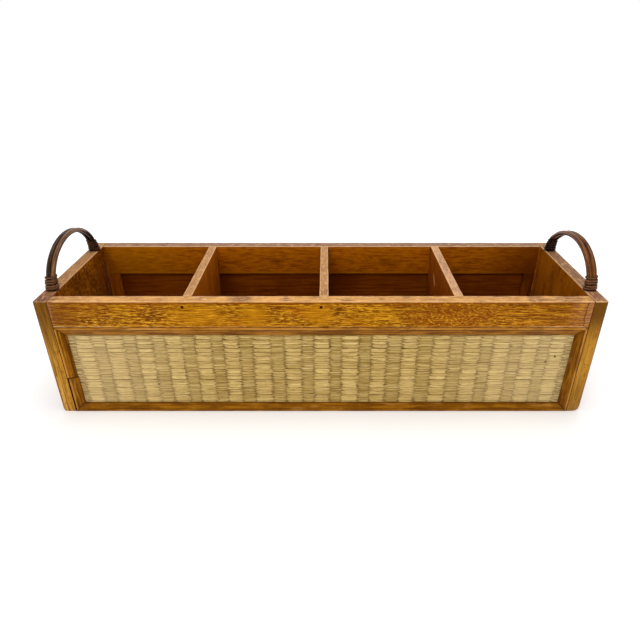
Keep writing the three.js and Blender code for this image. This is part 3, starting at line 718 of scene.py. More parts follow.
def moulding_finish(node, seed, look):
    """Varnished moulding: a pale bead, worn and with a painted highlight, a streaked face, grime in
    mitres and joints, and painted shade behind the bead, over its inner half and at its inner edge.
    """
    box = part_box(node)
    side = node.split("_")[0]
    top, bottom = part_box(f"{side}_moulding_top"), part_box(f"{side}_moulding_bottom")
    level = box[1].x - box[0].x > box[1].z - box[0].z
    low_strip = node.endswith("bottom")
    finish = Finish(f"{node}_varnish", seed)
    scales = (26, 420, 640) if level else (640, 420, 26)
    streak = finish.noise(scales, detail=5, roughness=0.62, distortion=0.5)
    cloud = finish.noise((40, 40, 40), detail=3, roughness=0.6, shift=3.0)
    from_side = finish.least(finish.less(finish.x, top[0].x), finish.less(top[1].x, finish.x))
    from_end = finish.least(finish.less(finish.z, bottom[0].z), finish.less(top[1].z, finish.z))
    across = from_end if level else finish.off(finish.x, box[0].x if box[0].x < 0 else box[1].x)
    dullness = 0.35 if low_strip or box[0].x > 0 else 0.0
    base = finish.lay(look.moulding_dark, look.moulding_gold, streak, 0.41, 0.57)
    base = finish.mix(
        finish.span(cloud, 0.42, 0.72, dullness, dullness + 0.4), base, look.moulding_dark
    )
    patch = finish.noise((36, 36, 150) if level else (150, 36, 36), detail=4, shift=9.0)
    base = finish.lay(base, look.end_dark, patch, 0.50, 0.62, 0.45)
    base = finish.lay(base, look.moulding_lip, patch, 0.44, 0.34, 0.4)
    lip = finish.lay(look.moulding_gold, look.moulding_lip, streak, 0.38, 0.56)
    lip = finish.lay(lip, look.moulding_dark, patch, 0.50, 0.62, 0.6)
    # The pale bead is worn, and carries a painted highlight.
    worn = finish.product(
        finish.span(cloud, 0.72, 0.42, 0.35 if level else 0.7, 1.0),
        finish.span(across, 2.7 * MM, 1.9 * MM, 0.0, 0.3 if low_strip else 1.0),
    )
    base = finish.mix(worn, base, lip)
    # Painted shade in the groove behind the bead, over the inner half and at the inner edge; grime in
    # the mitres, along the outer edge and at the splice.
    groove = finish.product(
        finish.span(across, 2.6 * MM, 3.2 * MM), finish.span(across, 4.6 * MM, 3.6 * MM, 0.0, 0.4)
    )
    grime = finish.most(
        groove,
        finish.span(across, 9.4 * MM, 10.6 * MM, 0.0, 0.6),
        finish.span(across, 4.5 * MM, 8.5 * MM, 0.0, 0.1 if level else 0.45),
        finish.span(finish.off(from_side, from_end), 0.8 * MM, 0.3 * MM, 0.0, 0.9),
        finish.span(across, 0.40 * MM, 0.12 * MM, 0.0, 0.6),
    )
    if node.endswith(("upper", "lower")):
        splice = box[0].z if node.endswith("upper") else box[1].z
        near = finish.span(finish.off(finish.z, splice), 0.9 * MM, 0.3 * MM, 0.0, 0.9)
        grime = finish.most(grime, near)
    base = finish.mix(grime, base, look.seam)
    finish.bump(streak, 0.1 * MM)
    shine = finish.product(
        finish.less(1.0, grime), finish.span(across, 0.3 * MM, 0.8 * MM, 0.0, 0.35)
    )
    return finish.done(base, finish.span(cloud, 0.3, 0.7, 0.34, 0.5), shine)


def mat_finish(name, seed, look, dots=()):
    """Dry straw: each has its own tone, fibres along it, and painted shade where it dives under and
    where it meets the next one.
    """
    finish = Finish(name, seed)
    straw = finish.add("ShaderNodeAttribute", {"attribute_name": "straw"}).outputs["Color"]
    tone, lift, odd = finish.add("ShaderNodeSeparateColor", Color=straw).outputs
    fibre = finish.noise((60, 900, 1250), detail=4, roughness=0.65)
    cloud = finish.noise((150, 150, 150), detail=3, roughness=0.6, shift=3.0)
    base = finish.mix(tone, look.straw_dark, look.straw_light)
    base = finish.lay(base, look.straw_pink, odd, 0.88, 1.0, 0.3)
    crease = finish.noise((75, 400, 820), detail=3, roughness=0.6, shift=7.0)
    base = finish.lay(base, look.straw_dark, fibre, 0.52, 0.36, 0.8)
    base = finish.lay(base, look.straw_dark, cloud, 0.58, 0.76, 0.35)
    base = finish.lay(base, look.straw_grime_and_shade, crease, 0.56, 0.66, 0.5)
    base = finish.lay(base, look.straw_pale, crease, 0.42, 0.34, 0.5)
    # Painted shade from the second channel of the straw colour: where straws dive under, along their
    # edges and over the narrow bands.
    base = finish.lay(base, look.straw_grime_and_shade, lift, 1.0, 0.02, 0.9)
    aside = finish.math("ABSOLUTE", finish.x)
    base = finish.lay(base, look.straw_pale, aside, 90 * MM, 270 * MM, 0.3)
    frayed = finish.product(
        finish.span(aside, 270 * MM, 278 * MM, 0.0, 0.6), finish.span(fibre, 0.54, 0.46, 0.1, 1.0)
    )
    base = finish.mix(frayed, base, look.straw_grime_and_shade)
    for x, z, radius in dots:
        centre = (x * MM, CAD_BOX[0].y + 4 * MM, z * MM)
        dot = finish.spot(centre, (radius * MM, 9 * MM, radius * MM))
        base = finish.mix(dot, base, look.dot_brown)
    finish.bump(fibre, 0.14 * MM)
    return finish.done(base, finish.span(fibre, 0.3, 0.7, 0.55, 0.72), 0.18, STRAW_TINT)


def cane_finish(name, seed, look, dark, light, shine=0.22, darkened=None, glints=0.0):
    """Split or whole cane, with lines that run along it on its own grain places."""
    finish = Finish(name, seed)
    finish.place = finish.add("ShaderNodeAttribute", {"attribute_name": "grain"}).outputs["Vector"]
    line = finish.noise((0.7, 2.8, 2.8), detail=5, roughness=0.6)
    fine = finish.noise((2.0, 14, 14), detail=3, roughness=0.6, shift=4.0)
    cloud = finish.noise((1.3, 1.2, 1.2), detail=3, shift=2.0)
    base = finish.lay(dark, light, line, 0.42, 0.57)
    base = finish.lay(base, dark, fine, 0.50, 0.36, 0.6)
    base = finish.lay(base, dark, cloud, 0.54, 0.74, 0.5)
    # Darker towards the rear foot.
    if darkened:
        travelled = finish.add("ShaderNodeSeparateXYZ", Vector=finish.place).outputs["X"]
        near = finish.math("MULTIPLY_ADD", cloud, 1.2, travelled)
        base = finish.lay(base, look.cane_foot, near, *darkened, 0.85)
    if glints:
        base = finish.lay(base, look.binding_glint, fine, 0.58, 0.66, glints)
    finish.bump(fine, 0.1 * MM)
    return finish.done(base, finish.span(cloud, 0.3, 0.7, 0.22, 0.36), shine, CANE_TINT)


def nail_finish(look):
    """A steel nail head dulled by varnish and rust."""
    finish = Finish("dulled_nail", 3.0)
    grime = finish.noise((900, 900, 900), detail=4, roughness=0.6)
    base = finish.lay(look.nail_dark, look.nail_brown, grime, 0.35, 0.65)
    finish.bump(grime, 0.05 * MM)
    return finish.done(base, finish.span(grime, 0.3, 0.7, 0.6, 0.8), 0.05)


def deselect():
    if bpy.context.object and bpy.context.object.mode != "OBJECT":
        bpy.ops.object.mode_set(mode="OBJECT")
    bpy.ops.object.select_all(action="DESELECT")


def select_only(piece):
    deselect()
    piece.select_set(True)
    bpy.context.view_layer.objects.active = piece


@contextmanager
def edit_mode(piece, chosen="SELECT"):
    select_only(piece)
    bpy.ops.object.mode_set(mode="EDIT")
    bpy.ops.mesh.select_mode(type="EDGE")
    bpy.ops.mesh.select_all(action=chosen)
    yield
    bpy.ops.object.mode_set(mode="OBJECT")


def choose_edges(piece, test):
    """Selects the edges of a mesh in edit mode that pass a test, and says how many there are."""
    shape = bmesh.from_edit_mesh(piece.data)
    count = 0
    for edge in shape.edges:
        edge.select_set(bool(test(edge)))
        count += edge.select
    bmesh.update_edit_mesh(piece.data)
    return count


def copied_from(node):
    """A copy of a frame node as a piece of its own, with its loose triangles made whole faces."""
    piece = bpy.data.objects.new(f"{node}_finished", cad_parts[node].data.copy())
    bpy.context.scene.collection.objects.link(piece)
    with edit_mode(piece):
        bpy.ops.mesh.remove_doubles(threshold=MERGE_DISTANCE)
        bpy.ops.mesh.customdata_custom_splitnormals_clear()
        bpy.ops.mesh.dissolve_limited(angle_limit=FLAT_ANGLE)
    return piece


def smooth(piece, angle=SMOOTH_ANGLE):
    select_only(piece)
    bpy.ops.object.shade_smooth_by_angle(angle=angle)


def dress(piece, material, slot, *nodes):
    """Gives a piece its material, ties it to the body, and hides the nodes that it stands for."""
    piece.data.materials.clear()
    piece.data.materials.append(material)
    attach(piece, BODY)
    if nodes:
        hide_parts(*nodes)


def hole_boxes():
    """The space of every nail and cane, whose holes keep their crisp rims."""
    margin = Vector((1, 1, 1)) * MM
    names = [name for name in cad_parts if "nail" in name or "cane" in name]
    return [(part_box(name)[0] - margin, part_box(name)[1] + margin) for name in names]


HOLES = hole_boxes()


def in_hole(point):
    return any(all(a <= c <= b for c, a, b in zip(point, *box)) for box in HOLES)


def sharp(edge):
    return len(edge.link_faces) == 2 and edge.calc_face_angle() > SMOOTH_ANGLE


def round_arrises(piece, width, wanted, segments=2):
    """Rounds the sharp outer edges whose middle point is wanted."""
    def test(edge):
        middle = (edge.verts[0].co + edge.verts[1].co) / 2
        return sharp(edge) and not in_hole(middle) and wanted(middle)

    with edit_mode(piece, "DESELECT"):
        if choose_edges(piece, test):
            bpy.ops.mesh.bevel(
                offset=width, offset_type="OFFSET", segments=segments, affect="EDGES",
                profile=0.5, clamp_overlap=True,
            )


def cut_across(piece, axis, spacing, seed):
    """Cuts a piece's faces across its length at uneven distances."""
    rng = random.Random(seed)
    corners = [Vector(corner) for corner in piece.bound_box]
    low, high = min(c[axis] for c in corners), max(c[axis] for c in corners)
    normal = Vector([float(i == axis) for i in range(3)])
    at = low + spacing * rng.uniform(0.6, 1.2)
    with edit_mode(piece):
        while at < high - spacing / 2:
            bpy.ops.mesh.select_all(action="SELECT")
            bpy.ops.mesh.bisect(plane_co=normal * at, plane_no=normal)
            at += spacing * rng.uniform(0.7, 1.3)


def wander_arrises(piece, reach, amount, seed):
    """Pushes the corners near two faces of the piece's box in by an uneven amount."""
    corners = [Vector(corner) for corner in piece.bound_box]
    low, high = corners[0], corners[6]
    middle = (low + high) / 2
    for vertex in piece.data.vertices:
        near = sorted((min(vertex.co[i] - low[i], high[i] - vertex.co[i]), i) for i in range(3))
        if near[1][0] > reach or in_hole(vertex.co):
            continue
        wave = noise.noise(vertex.co * 55 + Vector((seed, 0, 0)))
        push = amount * (0.5 + 0.5 * max(-1.0, min(1.0, 1.6 * wave)))
        for _gap, i in near[:2]:
            vertex.co[i] += math.copysign(push, middle[i] - vertex.co[i])


def finished_board(node, axis, seed, look, rim=True):
    """A board copied from its node, with worn arrises: broad where they show, narrow elsewhere."""
    piece = copied_from(node)
    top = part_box(node)[1].z
    reach = CAD_BOX[1].x - look.joint_arris
    if rim:
        round_arrises(
            piece, look.rim_arris,
            lambda point: point.z > top - look.joint_arris or abs(point.x) > reach, 3,
        )
    below = top - look.rim_arris * 2 if rim else top + look.rim_arris
    round_arrises(
        piece, look.joint_arris, lambda point: point.z < below and abs(point.x) < reach - MM
    )
    cut_across(piece, axis, look.cut_spacing, seed)
    wander_arrises(piece, look.rim_arris * 1.2, look.uneven, seed)
    smooth(piece)
    return piece


def circle(sides):
    """The cosine and the sine at each of a number of even steps round a circle."""
    angles = [2 * math.pi * k / sides for k in range(sides)]
    return [(math.cos(angle), math.sin(angle)) for angle in angles]


def squared(value, power):
    """A cosine or sine drawn out, so that a circle comes out nearer to a box."""
    return math.copysign(abs(value) ** power, value)


def tube_faces(first, count, sides, closed=False):
    """The faces of a tube of rings from a first corner on, closed end to end or capped."""
    faces = []
    for i in range(count if closed else count - 1):
        here, there = first + i * sides, first + (i + 1) % count * sides
        for k in range(sides):
            after = (k + 1) % sides
            faces.append((here + k, here + after, there + after, there + k))
    if not closed:
        last = first + (count - 1) * sides
        faces.append(tuple(first + k for k in reversed(range(sides))))
        faces.append(tuple(last + k for k in range(sides)))
    return faces


def made_of(name, points, faces, attribute, kind, field, values):
    """A smooth piece made of points and faces, which keeps a value for each of its points."""
    mesh = bpy.data.meshes.new(name)
    mesh.from_pydata([tuple(point) for point in points], [], faces)
    kept = mesh.attributes.new(attribute, kind, "POINT")
    kept.data.foreach_set(field, [number for value in values for number in value])
    piece = bpy.data.objects.new(name, mesh)
    bpy.context.scene.collection.objects.link(piece)
    with edit_mode(piece):
        bpy.ops.mesh.normals_make_consistent(inside=False)
    smooth(piece, ROUND_ANGLE)
    return piece


def sweep(name, rings, grain, closed=False):
    """A tube through rings of points, with the places of its grain."""
    points = [point for ring in rings for point in ring]
    faces = tube_faces(0, len(rings), len(rings[0]), closed)
    return made_of(name, points, faces, "grain", "FLOAT_VECTOR", "vector", grain)


def eased(value, low, high):
    """The value's way from low to high as a share, eased and held at both ends."""
    share = max(0.0, min(1.0, (value - low) / (high - low)))
    return share * share * (3 - 2 * share)


# A straw's points round its middle, to its side and to its front. Its stations are shares of the
# way across a band, and how far it has risen or dived by then.
STRAW_SIDES = 6
STRAW_PROFILE = [(squared(side, 0.4), front) for side, front in circle(STRAW_SIDES)]
STRAW_STATIONS = ((0.0, 0.0), (0.09, 0.66), (0.24, 1.0), (0.76, 1.0), (0.91, 0.66))

# Heights over a mat's back: where the straws pass from band to band, how far they dive from
# there, where the moulding holds them down, how far they spring up before they are proud, and
# the least height of any.
STRAW_PASS = 1.25 * MM
STRAW_DIVE = 0.5 * MM
STRAW_HELD = 1.75 * MM
STRAW_SPRING = 0.2 * MM
STRAW_LOWEST = 0.1 * MM

# How far from the moulding the straws are quite free, how far behind its bottom strip that starts,
# how far they reach on below and above, and how far their cut ends stay within the mat.
FREE_WITHIN = 1.6 * MM
FREE_BELOW = 0.6 * MM
TUCKED_BELOW = 3 * MM
TUCKED_ABOVE = 2 * MM
END_INSET = 0.5 * MM

# Half thickness of a thick straw, mean height of a narrow one, how far a band's start strays from
# its line, and how far straws wave up and down, together and each on its own.
STRAW_THICKEST = 0.75 * MM
NARROW_PITCH = 2.1 * MM
BAND_STRAY = 1.5 * MM
ROW_WAVE = 0.8 * MM
STRAW_WAVE = 0.45 * MM

# The thin backing of straw behind them, painted dark as the shade between the straws, and the sides
# of a box by its eight corners.
SHEET_THICK = 0.7 * MM
SHADED_SHEET_TONE = (0.1, 0.1, 0.0, 1.0)
BOX_SIDES = ((0, 1, 3, 2), (4, 6, 7, 5), (0, 4, 5, 1), (2, 3, 7, 6), (0, 2, 6, 4), (1, 5, 7, 3))


class Weave:
    """How the straws of one mat lie: its window, its back, its bands and its rows."""

    def __init__(self, node, outward, look, seed):
        self.rng = random.Random(seed)
        self.look = look
        self.low, self.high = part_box(node)
        self.outward = outward
        self.back = self.high.y if outward < 0 else self.low.y
        side = node.split("_")[0]
        top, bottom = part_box(f"{side}_moulding_top"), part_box(f"{side}_moulding_bottom")
        width = top[1].z - top[0].z
        self.left, self.right = self.low.x + width, self.high.x - width
        self.bottom, self.top = bottom[1].z - FREE_BELOW, top[0].z
        self.ends = [self.low.x + END_INSET, *self.band_places(), self.high.x - END_INSET]

    def band_places(self):
        """The places where the bands meet, from one cut edge band to the other."""
        look, rng = self.look, self.rng
        places = [self.left + look.edge_band]
        inner = self.right - look.edge_band - places[0]
        pairs = round((inner - look.light_band) / (look.light_band + look.dark_band))
        widths = [look.light_band * rng.uniform(0.88, 1.12)]
        for _pair in range(pairs):
            widths.append(look.dark_band * rng.uniform(0.86, 1.14))
            widths.append(look.light_band * rng.uniform(0.88, 1.12))
        fit = inner / sum(widths)
        for width in widths:
            places.append(places[-1] + width * fit)
        return places

    def rows(self):
        """Each straw's height, width, and whether it shows in the light bands."""
        rng = self.rng
        edges = [self.bottom - TUCKED_BELOW]
        while edges[-1] < self.top + TUCKED_ABOVE:
            uneven = min(1.7, max(0.5, rng.lognormvariate(-0.04, 0.36)))
            edges.append(edges[-1] + self.look.straw_pitch * uneven)
        rows = [((low + high) / 2, high - low, True) for low, high in zip(edges, edges[1:])]
        middles = [row[0] for row in rows]
        for low, high in zip(middles, middles[1:]):
            parts = min(3, max(1, round((high - low) / NARROW_PITCH + rng.uniform(-0.5, 0.5))))
            shares = [rng.uniform(0.7, 1.3) for _part in range(parts)]
            at = low
            for share in shares:
                width = (high - low) * share / sum(shares)
                rows.append((at + width / 2, width, False))
                at += width
        return rows

    def crest(self, x, z):
        """How far a straw's front stands from the mat's back: less under the moulding."""
        inside = min(x - self.left, self.right - x, z - self.bottom, self.top - z)
        free = max(0.0, min(1.0, inside / FREE_WITHIN))
        return STRAW_HELD + (self.look.crest + STRAW_SPRING) * free

    def waved(self, x, height, jitter):
        """A straw's height at a place, which waves with its row and on its own."""
        height += ROW_WAVE * noise.noise(Vector((x * 22, height * 30, 3.0)))
        return height + STRAW_WAVE * noise.noise(Vector((x * 70, jitter, 0.0)))

    def straw(self, height, width, in_light):
        """The rings, tones and painted shade of one straw, which shows in every other band."""
        rng = self.rng
        jitter = rng.uniform(0, 100)
        own_tone = rng.gauss(0.68 if in_light else 0.42, 0.16)
        fill = rng.uniform(0.92, 1.04)
        groove = rng.uniform(0.0, 0.95) if in_light else rng.uniform(0.0, 0.7)
        clear = 1.0 if in_light else 0.84
        rings, tones = [], []
        for index in range(len(self.ends) - 1):
            shows = (index % 2 == 1) == in_light
            start, end = self.ends[index:index + 2]
            start += rng.uniform(-BAND_STRAY, BAND_STRAY) if index else 0
            tone = max(0.0, min(1.0, own_tone + rng.gauss(0, 0.13)))
            odd, swell = rng.random(), rng.uniform(0.82, 1.1)
            for share, rise in STRAW_STATIONS:
                x = start + (end - start) * share
                lift = rise if shows else -rise
                top = STRAW_PASS + STRAW_DIVE * lift
                if lift > 0:
                    climb = self.crest(x, height) - STRAW_PASS
                    top = STRAW_PASS + climb * min(1.0, lift * swell)
                z = self.waved(x, height, jitter)
                broad = width * fill * (0.80 + 0.20 * max(lift, 0))
                thick = min(STRAW_THICKEST, 0.36 * width) * (0.85 + 0.3 * max(lift, 0))
                ring = []
                for side, front in STRAW_PROFILE:
                    out = max(top - thick + thick * front, STRAW_LOWEST)
                    ring.append((x, self.back + self.outward * out, z + broad / 2 * side))
                    # Painted shade, kept in the second channel: less where the straw dives under, at
                    # its edges and in the narrow bands.
                    unshaded = clear * (groove if abs(side) > 0.9 else 1.0)
                    tones.append((tone, (0.62 + 0.38 * lift) * unshaded, odd, 1.0))
                rings.append(ring)
        return rings, tones


def woven_mat(node, outward, seed, look):
    """A mat of straws that go over and under hidden uprights, on a thin backing of straw."""
    weave = Weave(node, outward, look, seed)
    points, faces, tones = [], [], []
    for row in weave.rows():
        rings, ring_tones = weave.straw(*row)
        faces.extend(tube_faces(len(points), len(rings), STRAW_SIDES))
        tones.extend(ring_tones)
        for ring in rings:
            points.extend(ring)
    first = len(points)
    for x in (weave.low.x, weave.high.x):
        for y in sorted((weave.back, weave.back + outward * SHEET_THICK)):
            for z in (weave.low.z, weave.high.z):
                points.append((x, y, z))
                tones.append(SHADED_SHEET_TONE)
    faces.extend(tuple(first + k for k in side) for side in BOX_SIDES)
    return made_of(f"{node}_straws", points, faces, "straw", "FLOAT_COLOR", "color", tones)


# Sides and steps of the handles' tubes, how much the grain is drawn out along them, how far a
# binding leans in at its foot, and how a cane swells and narrows at a node, as radius shares.
CANE_SIDES = 16
ARCH_STEPS = 110
PEG_STEPS = 6
LOOP_STEPS = 56
STRAND_PROFILE = [(squared(c, 0.9), squared(s, 0.9)) for c, s in circle(12)]
COLLAR_SIDES = 6
GRAIN_STRETCH = 60
FOOT_LEAN = 0.3 * MM
NODE_SWELL = 0.055
NODE_NECK = 0.03

# What sets the two handles apart: how far they stand along X from the frame's ones, how much
# plumper their canes are, how far the arch has slumped, and the grain places between which a
# cane's rear foot darkens.
HANDLE_SHIFTS = {"left": 2.0 * MM, "right": -0.9 * MM}
HANDLE_PLUMPNESS = {"left": 0.12, "right": 0.20}
HANDLE_SLUMPS = {"left": 0.0, "right": 4.4 * MM}
FOOT_DARKENING = {"left": (4.6, 3.8), "right": (3.9, 3.2)}


class HandleShape:
    """The arch and feet of one handle, as its canes in the frame give them."""

    def __init__(self, side):
        outer, inner = (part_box(f"{side}_handle_{which}_cane") for which in ("outer", "inner"))
        self.radius = (outer[1].x - outer[0].x) / 2
        self.centres = {
            "outer": (outer[0].x + outer[1].x) / 2, "inner": (inner[0].x + inner[1].x) / 2
        }
        self.middle = sum(self.centres.values()) / 2
        self.spacing = abs(self.centres["outer"] - self.centres["inner"])
        self.half_span = outer[1].y - self.radius
        self.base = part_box(f"{side}_end_board")[1].z
        self.rise = outer[1].z - self.radius - self.base
        self.peg = self.base - outer[0].z
        self.shift = HANDLE_SHIFTS[side]
        self.plump = HANDLE_PLUMPNESS[side]
        self.slump = HANDLE_SLUMPS[side]

    def reach(self, z):
        """Half the distance between the arch's two legs at a height."""
        return self.half_span * math.sqrt(max(0.0, 1 - (z / self.rise) ** 2))

    def lean(self, z):
        """How much longer a level cut through the leaning cane is than a straight one."""
        slope = (self.half_span / self.rise) ** 2 * z / max(self.reach(z), MM)
        return math.hypot(1, slope)

    def sag(self, y, z):
        """How far the arch has slumped at a place, most towards its rear."""
        lopsided = 0.72 + 0.6 * y / self.half_span
        return self.slump * z / self.rise * lopsided * eased(z, 14 * MM, 30 * MM)

    def unbound(self, z):
        """0 inside the bindings, and 1 well above them."""
        return eased(z, 9 * MM, 20 * MM)

    def route(self):
        """Places along a cane from its rear peg to its front one: Y, Z and the way out."""
        down = [self.peg * (1 - i / PEG_STEPS) for i in range(PEG_STEPS)]
        route = [(self.half_span, -z, 1.0, 0.0) for z in down]
        for i in range(ARCH_STEPS + 1):
            c, s = math.cos(math.pi * i / ARCH_STEPS), math.sin(math.pi * i / ARCH_STEPS)
            out = Vector((c / self.half_span, s / self.rise)).normalized()
            route.append((self.half_span * c, self.rise * s, *out))
        return route + [(-self.half_span, -z, -1.0, 0.0) for z in reversed(down)]


def cane_radius(shape, travelled, z, seed, look):
    """A cane's radius at a place. It wavers, and swells at each node, with a neck beside it."""
    offset = look.node_spacing * (0.2 + 0.5 * (seed % 1.0))
    past = (travelled + offset) % look.node_spacing - look.node_spacing / 2
    swell = NODE_SWELL * math.exp(-((past / (1.3 * MM)) ** 2))
    neck = NODE_NECK * math.exp(-(((past - 3.2 * MM) / (2 * MM)) ** 2))
    waver = 0.02 * noise.noise(Vector((travelled * 40, seed * 9, 0)))
    own = min(1.0, 0.945 + swell - neck + waver)
    return shape.radius * (own + shape.plump * shape.unbound(z))


def cane(side, which, shape, seed, look):
    """A whole cane bent into the arch, which sways and dips a little along its way."""
    outward = math.copysign(1, shape.centres[which] - shape.middle)
    apart = (2 * shape.radius * (0.95 + shape.plump) + look.cane_gap - shape.spacing) / 2
    route = shape.route()
    rings, grain = [], []
    travelled = 0.0
    for i, (y, z, out_y, out_z) in enumerate(route):
        if i:
            travelled += math.hypot(y - route[i - 1][0], z - route[i - 1][1])
        radius = cane_radius(shape, travelled, z, seed, look)
        free = math.sin(math.pi / 2 * max(0.0, z / shape.rise))
        sway = 0.16 * MM * free * noise.noise(Vector((travelled * 18, seed * 5, 4)))
        bow = outward * apart * shape.unbound(z) + shape.shift * eased(z, -2 * MM, 9 * MM)
        dip = MM * free * (0.35 + 0.4 * abs(noise.noise(Vector((travelled * 14, seed, 8)))))
        x, low = shape.centres[which] + sway + bow, shape.base + z - dip - shape.sag(y, z)
        ring = []
        for c, s in circle(CANE_SIDES):
            ring.append(Vector((x + radius * c, y + out_y * radius * s, low + out_z * radius * s)))
            grain.append((travelled * GRAIN_STRETCH, c, s))
        rings.append(ring)
    return sweep(f"{side}_{which}_cane_polished", rings, grain)


def loop_point(share, across, deep, flat):
    """A place on the round-ended loop about two canes, a share of the way round it."""
    bend = math.pi * across
    way = share % 1.0 * 2 * (flat + bend)
    if way < flat / 2:
        return way, -deep
    if way < flat / 2 + bend:
        angle = (way - flat / 2) / across - math.pi / 2
        return flat / 2 + across * math.cos(angle), deep * math.sin(angle)
    if way < flat * 1.5 + bend:
        return flat + bend - way, deep
    if way < flat * 1.5 + 2 * bend:
        angle = (way - flat * 1.5 - bend) / across + math.pi / 2
        return -flat / 2 + across * math.cos(angle), deep * math.sin(angle)
    return way - 2 * (flat + bend), -deep


def wound_rings(shape, foot, route, width, thick):
    """Rings of a flattish strand along a route of turns so far, height, way out and way in."""
    points = []
    for turn, z, off, inward in route:
        across = shape.radius + off
        x, y = loop_point(turn, across, shape.radius * shape.lean(z) + off, shape.spacing)
        middle = shape.middle + shape.shift - math.copysign(inward, shape.middle)
        points.append(Vector((middle + foot * x, foot * (shape.reach(z) + y), shape.base + z)))
    rings, grain = [], []
    travelled = 0.0
    for i, point in enumerate(points):
        before, after = points[max(i - 1, 0)], points[min(i + 1, len(points) - 1)]
        if i:
            travelled += (point - points[i - 1]).length
        along = (after - before).normalized()
        out = along.cross(Vector((0, 0, 1))).normalized()
        up = out.cross(along)
        slim = 1 + 0.06 * noise.noise(Vector((travelled * 90, foot * 4, shape.middle * 9)))
        ring = []
        for c, s in STRAND_PROFILE:
            ring.append(point + out * (thick / 2 * c) + up * (width / 2 * slim * s))
            grain.append((travelled * GRAIN_STRETCH, c, s))
        rings.append(ring)
    return rings, grain


def side_name(side):
    """The name of a side, which is -1 in front and 1 at the rear."""
    return "rear" if side > 0 else "front"


def binding(side, foot, shape, look):
    """One strand wound up both canes of a foot, drawn together in bands and wider at its base."""
    front = foot < 0
    thick = look.strand_thick if front else look.rear_thick
    flare = look.strand_flare if front else look.rear_flare
    route = []
    for i in range(look.turns * LOOP_STEPS + 1):
        turn = i / LOOP_STEPS
        gaps = sum(1 / (1 + math.exp(-(turn - at) * 14)) for at in range(2, look.turns, 2))
        z = look.strand_width * (0.5 + 0.97 * turn) + look.band_gap * gaps + 0.25 * MM
        z += 0.1 * MM * noise.noise(Vector((turn * 3, foot * 7, shape.middle * 20)))
        spread = (1 - turn / look.turns) ** 1.2
        route.append((turn, z, 0.05 * MM + thick / 2 + flare * spread, FOOT_LEAN * spread))
    rings, grain = wound_rings(shape, foot, route, look.strand_width, thick)
    return sweep(f"{side}_{side_name(foot)}_binding_wound", rings, grain)


def collar(side, foot, shape, look):
    """The dark, ragged ring of old glue round the foot of a binding."""
    rings, grain = [], []
    half = shape.spacing / 2
    for i in range(LOOP_STEPS):
        share = i / LOOP_STEPS
        ragged = noise.noise(Vector((share * 9, foot * 3, shape.middle * 30)))
        off = shape.radius + look.collar_reach + 0.35 * MM * ragged
        x, y = loop_point(share, off, off, shape.spacing)
        middle = shape.middle + shape.shift - math.copysign(FOOT_LEAN, shape.middle)
        centre = Vector((middle + foot * x, foot * (shape.half_span + y), shape.base))
        out = foot * Vector((x - max(-half, min(half, x)), y, 0)).normalized()
        ring = []
        for c, s in circle(COLLAR_SIDES):
            rise = (0.35 + 0.25 * ragged) * MM * (1 + s) + 0.02 * MM
            ring.append(centre + out * (look.collar_width / 2 * c) + Vector((0, 0, rise)))
            grain.append((share * 20, c, s))
        rings.append(ring)
    return sweep(f"{side}_{side_name(foot)}_glue_collar", rings, grain, closed=True)


def moulding_strip(node, seed, look):
    """A strip copied from its node, with its mitres eased and its arrises a little uneven."""
    def mitred(edge):
        return sharp(edge) and any(
            min(abs(face.normal.x), abs(face.normal.z)) > 0.5 and abs(face.normal.y) < 0.1
            for face in edge.link_faces
        )

    low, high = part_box(node)
    piece = copied_from(node)
    with edit_mode(piece, "DESELECT"):
        if choose_edges(piece, mitred):
            bpy.ops.mesh.bevel(offset=look.joint_arris * 0.8, segments=1, affect="EDGES")
    cut_across(piece, 0 if high.x - low.x > high.z - low.z else 2, look.cut_spacing, seed)
    wander_arrises(piece, 0.4 * MM, look.uneven * 0.6, seed)
    smooth(piece)
    return piece


def box_piece(name, centre, size):
    """A box at its place and size, from which a piece is then shaped."""
    deselect()
    bpy.ops.mesh.primitive_cube_add(size=1, location=centre)
    piece = bpy.context.object
    piece.name = name
    piece.scale = size
    bpy.ops.object.transform_apply(location=True, rotation=True, scale=True)
    return piece


def glue_line(side, end, seed, look):
    """The old glue that fills the joint at one end of a top rail, drawn in unevenly."""
    low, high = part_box(f"{side}_top_rail")
    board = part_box(f"{end}_end_board")
    start, stop = (board[1].x, low.x) if end == "left" else (high.x, board[0].x)
    centre = ((start + stop) / 2, (low.y + high.y) / 2, (low.z + high.z) / 2)
    size = (stop - start, high.y - low.y - look.joint_arris, high.z - low.z - look.joint_arris)
    piece = box_piece(f"{side}_{end}_glue_line", centre, size)
    with edit_mode(piece):
        bpy.ops.mesh.bevel(offset=0.04 * MM, segments=2, affect="EDGES")
    cut_across(piece, 2, look.line_cuts, seed)
    for vertex in piece.data.vertices:
        drawn = 0.05 * MM * (1 + noise.noise(Vector((seed, 0, vertex.co.z * 150))))
        vertex.co.y += math.copysign(drawn, centre[1] - vertex.co.y)
    smooth(piece)
    return piece


def glue_bead(name, corner, ways, heights, seed, look):
    """A thin upright bead in a corner, whose exposed arris is rounded off."""
    size = look.bead_width
    (x, y), (way_x, way_y), (low, high) = corner, ways, heights
    centre = (x + way_x * size / 2, y + way_y * size / 2, (low + high) / 2)
    piece = box_piece(name, centre, (size, size, high - low))
    exposed = Vector((x + way_x * size, y + way_y * size))
    with edit_mode(piece, "DESELECT"):
        choose_edges(piece, lambda edge: all(
            (vertex.co.xy - exposed).length < MERGE_DISTANCE for vertex in edge.verts
        ))
        bpy.ops.mesh.bevel(offset=size * 0.8, segments=3, affect="EDGES", profile=0.5)
    cut_across(piece, 2, look.bead_cuts, seed)
    for vertex in piece.data.vertices:
        wave = 0.72 + 0.28 * noise.noise(Vector((vertex.co.z * 160, seed, 0)))
        vertex.co.x = x + (vertex.co.x - x) * wave
        vertex.co.y = y + (vertex.co.y - y) * wave
    smooth(piece, ROUND_ANGLE)
    return piece


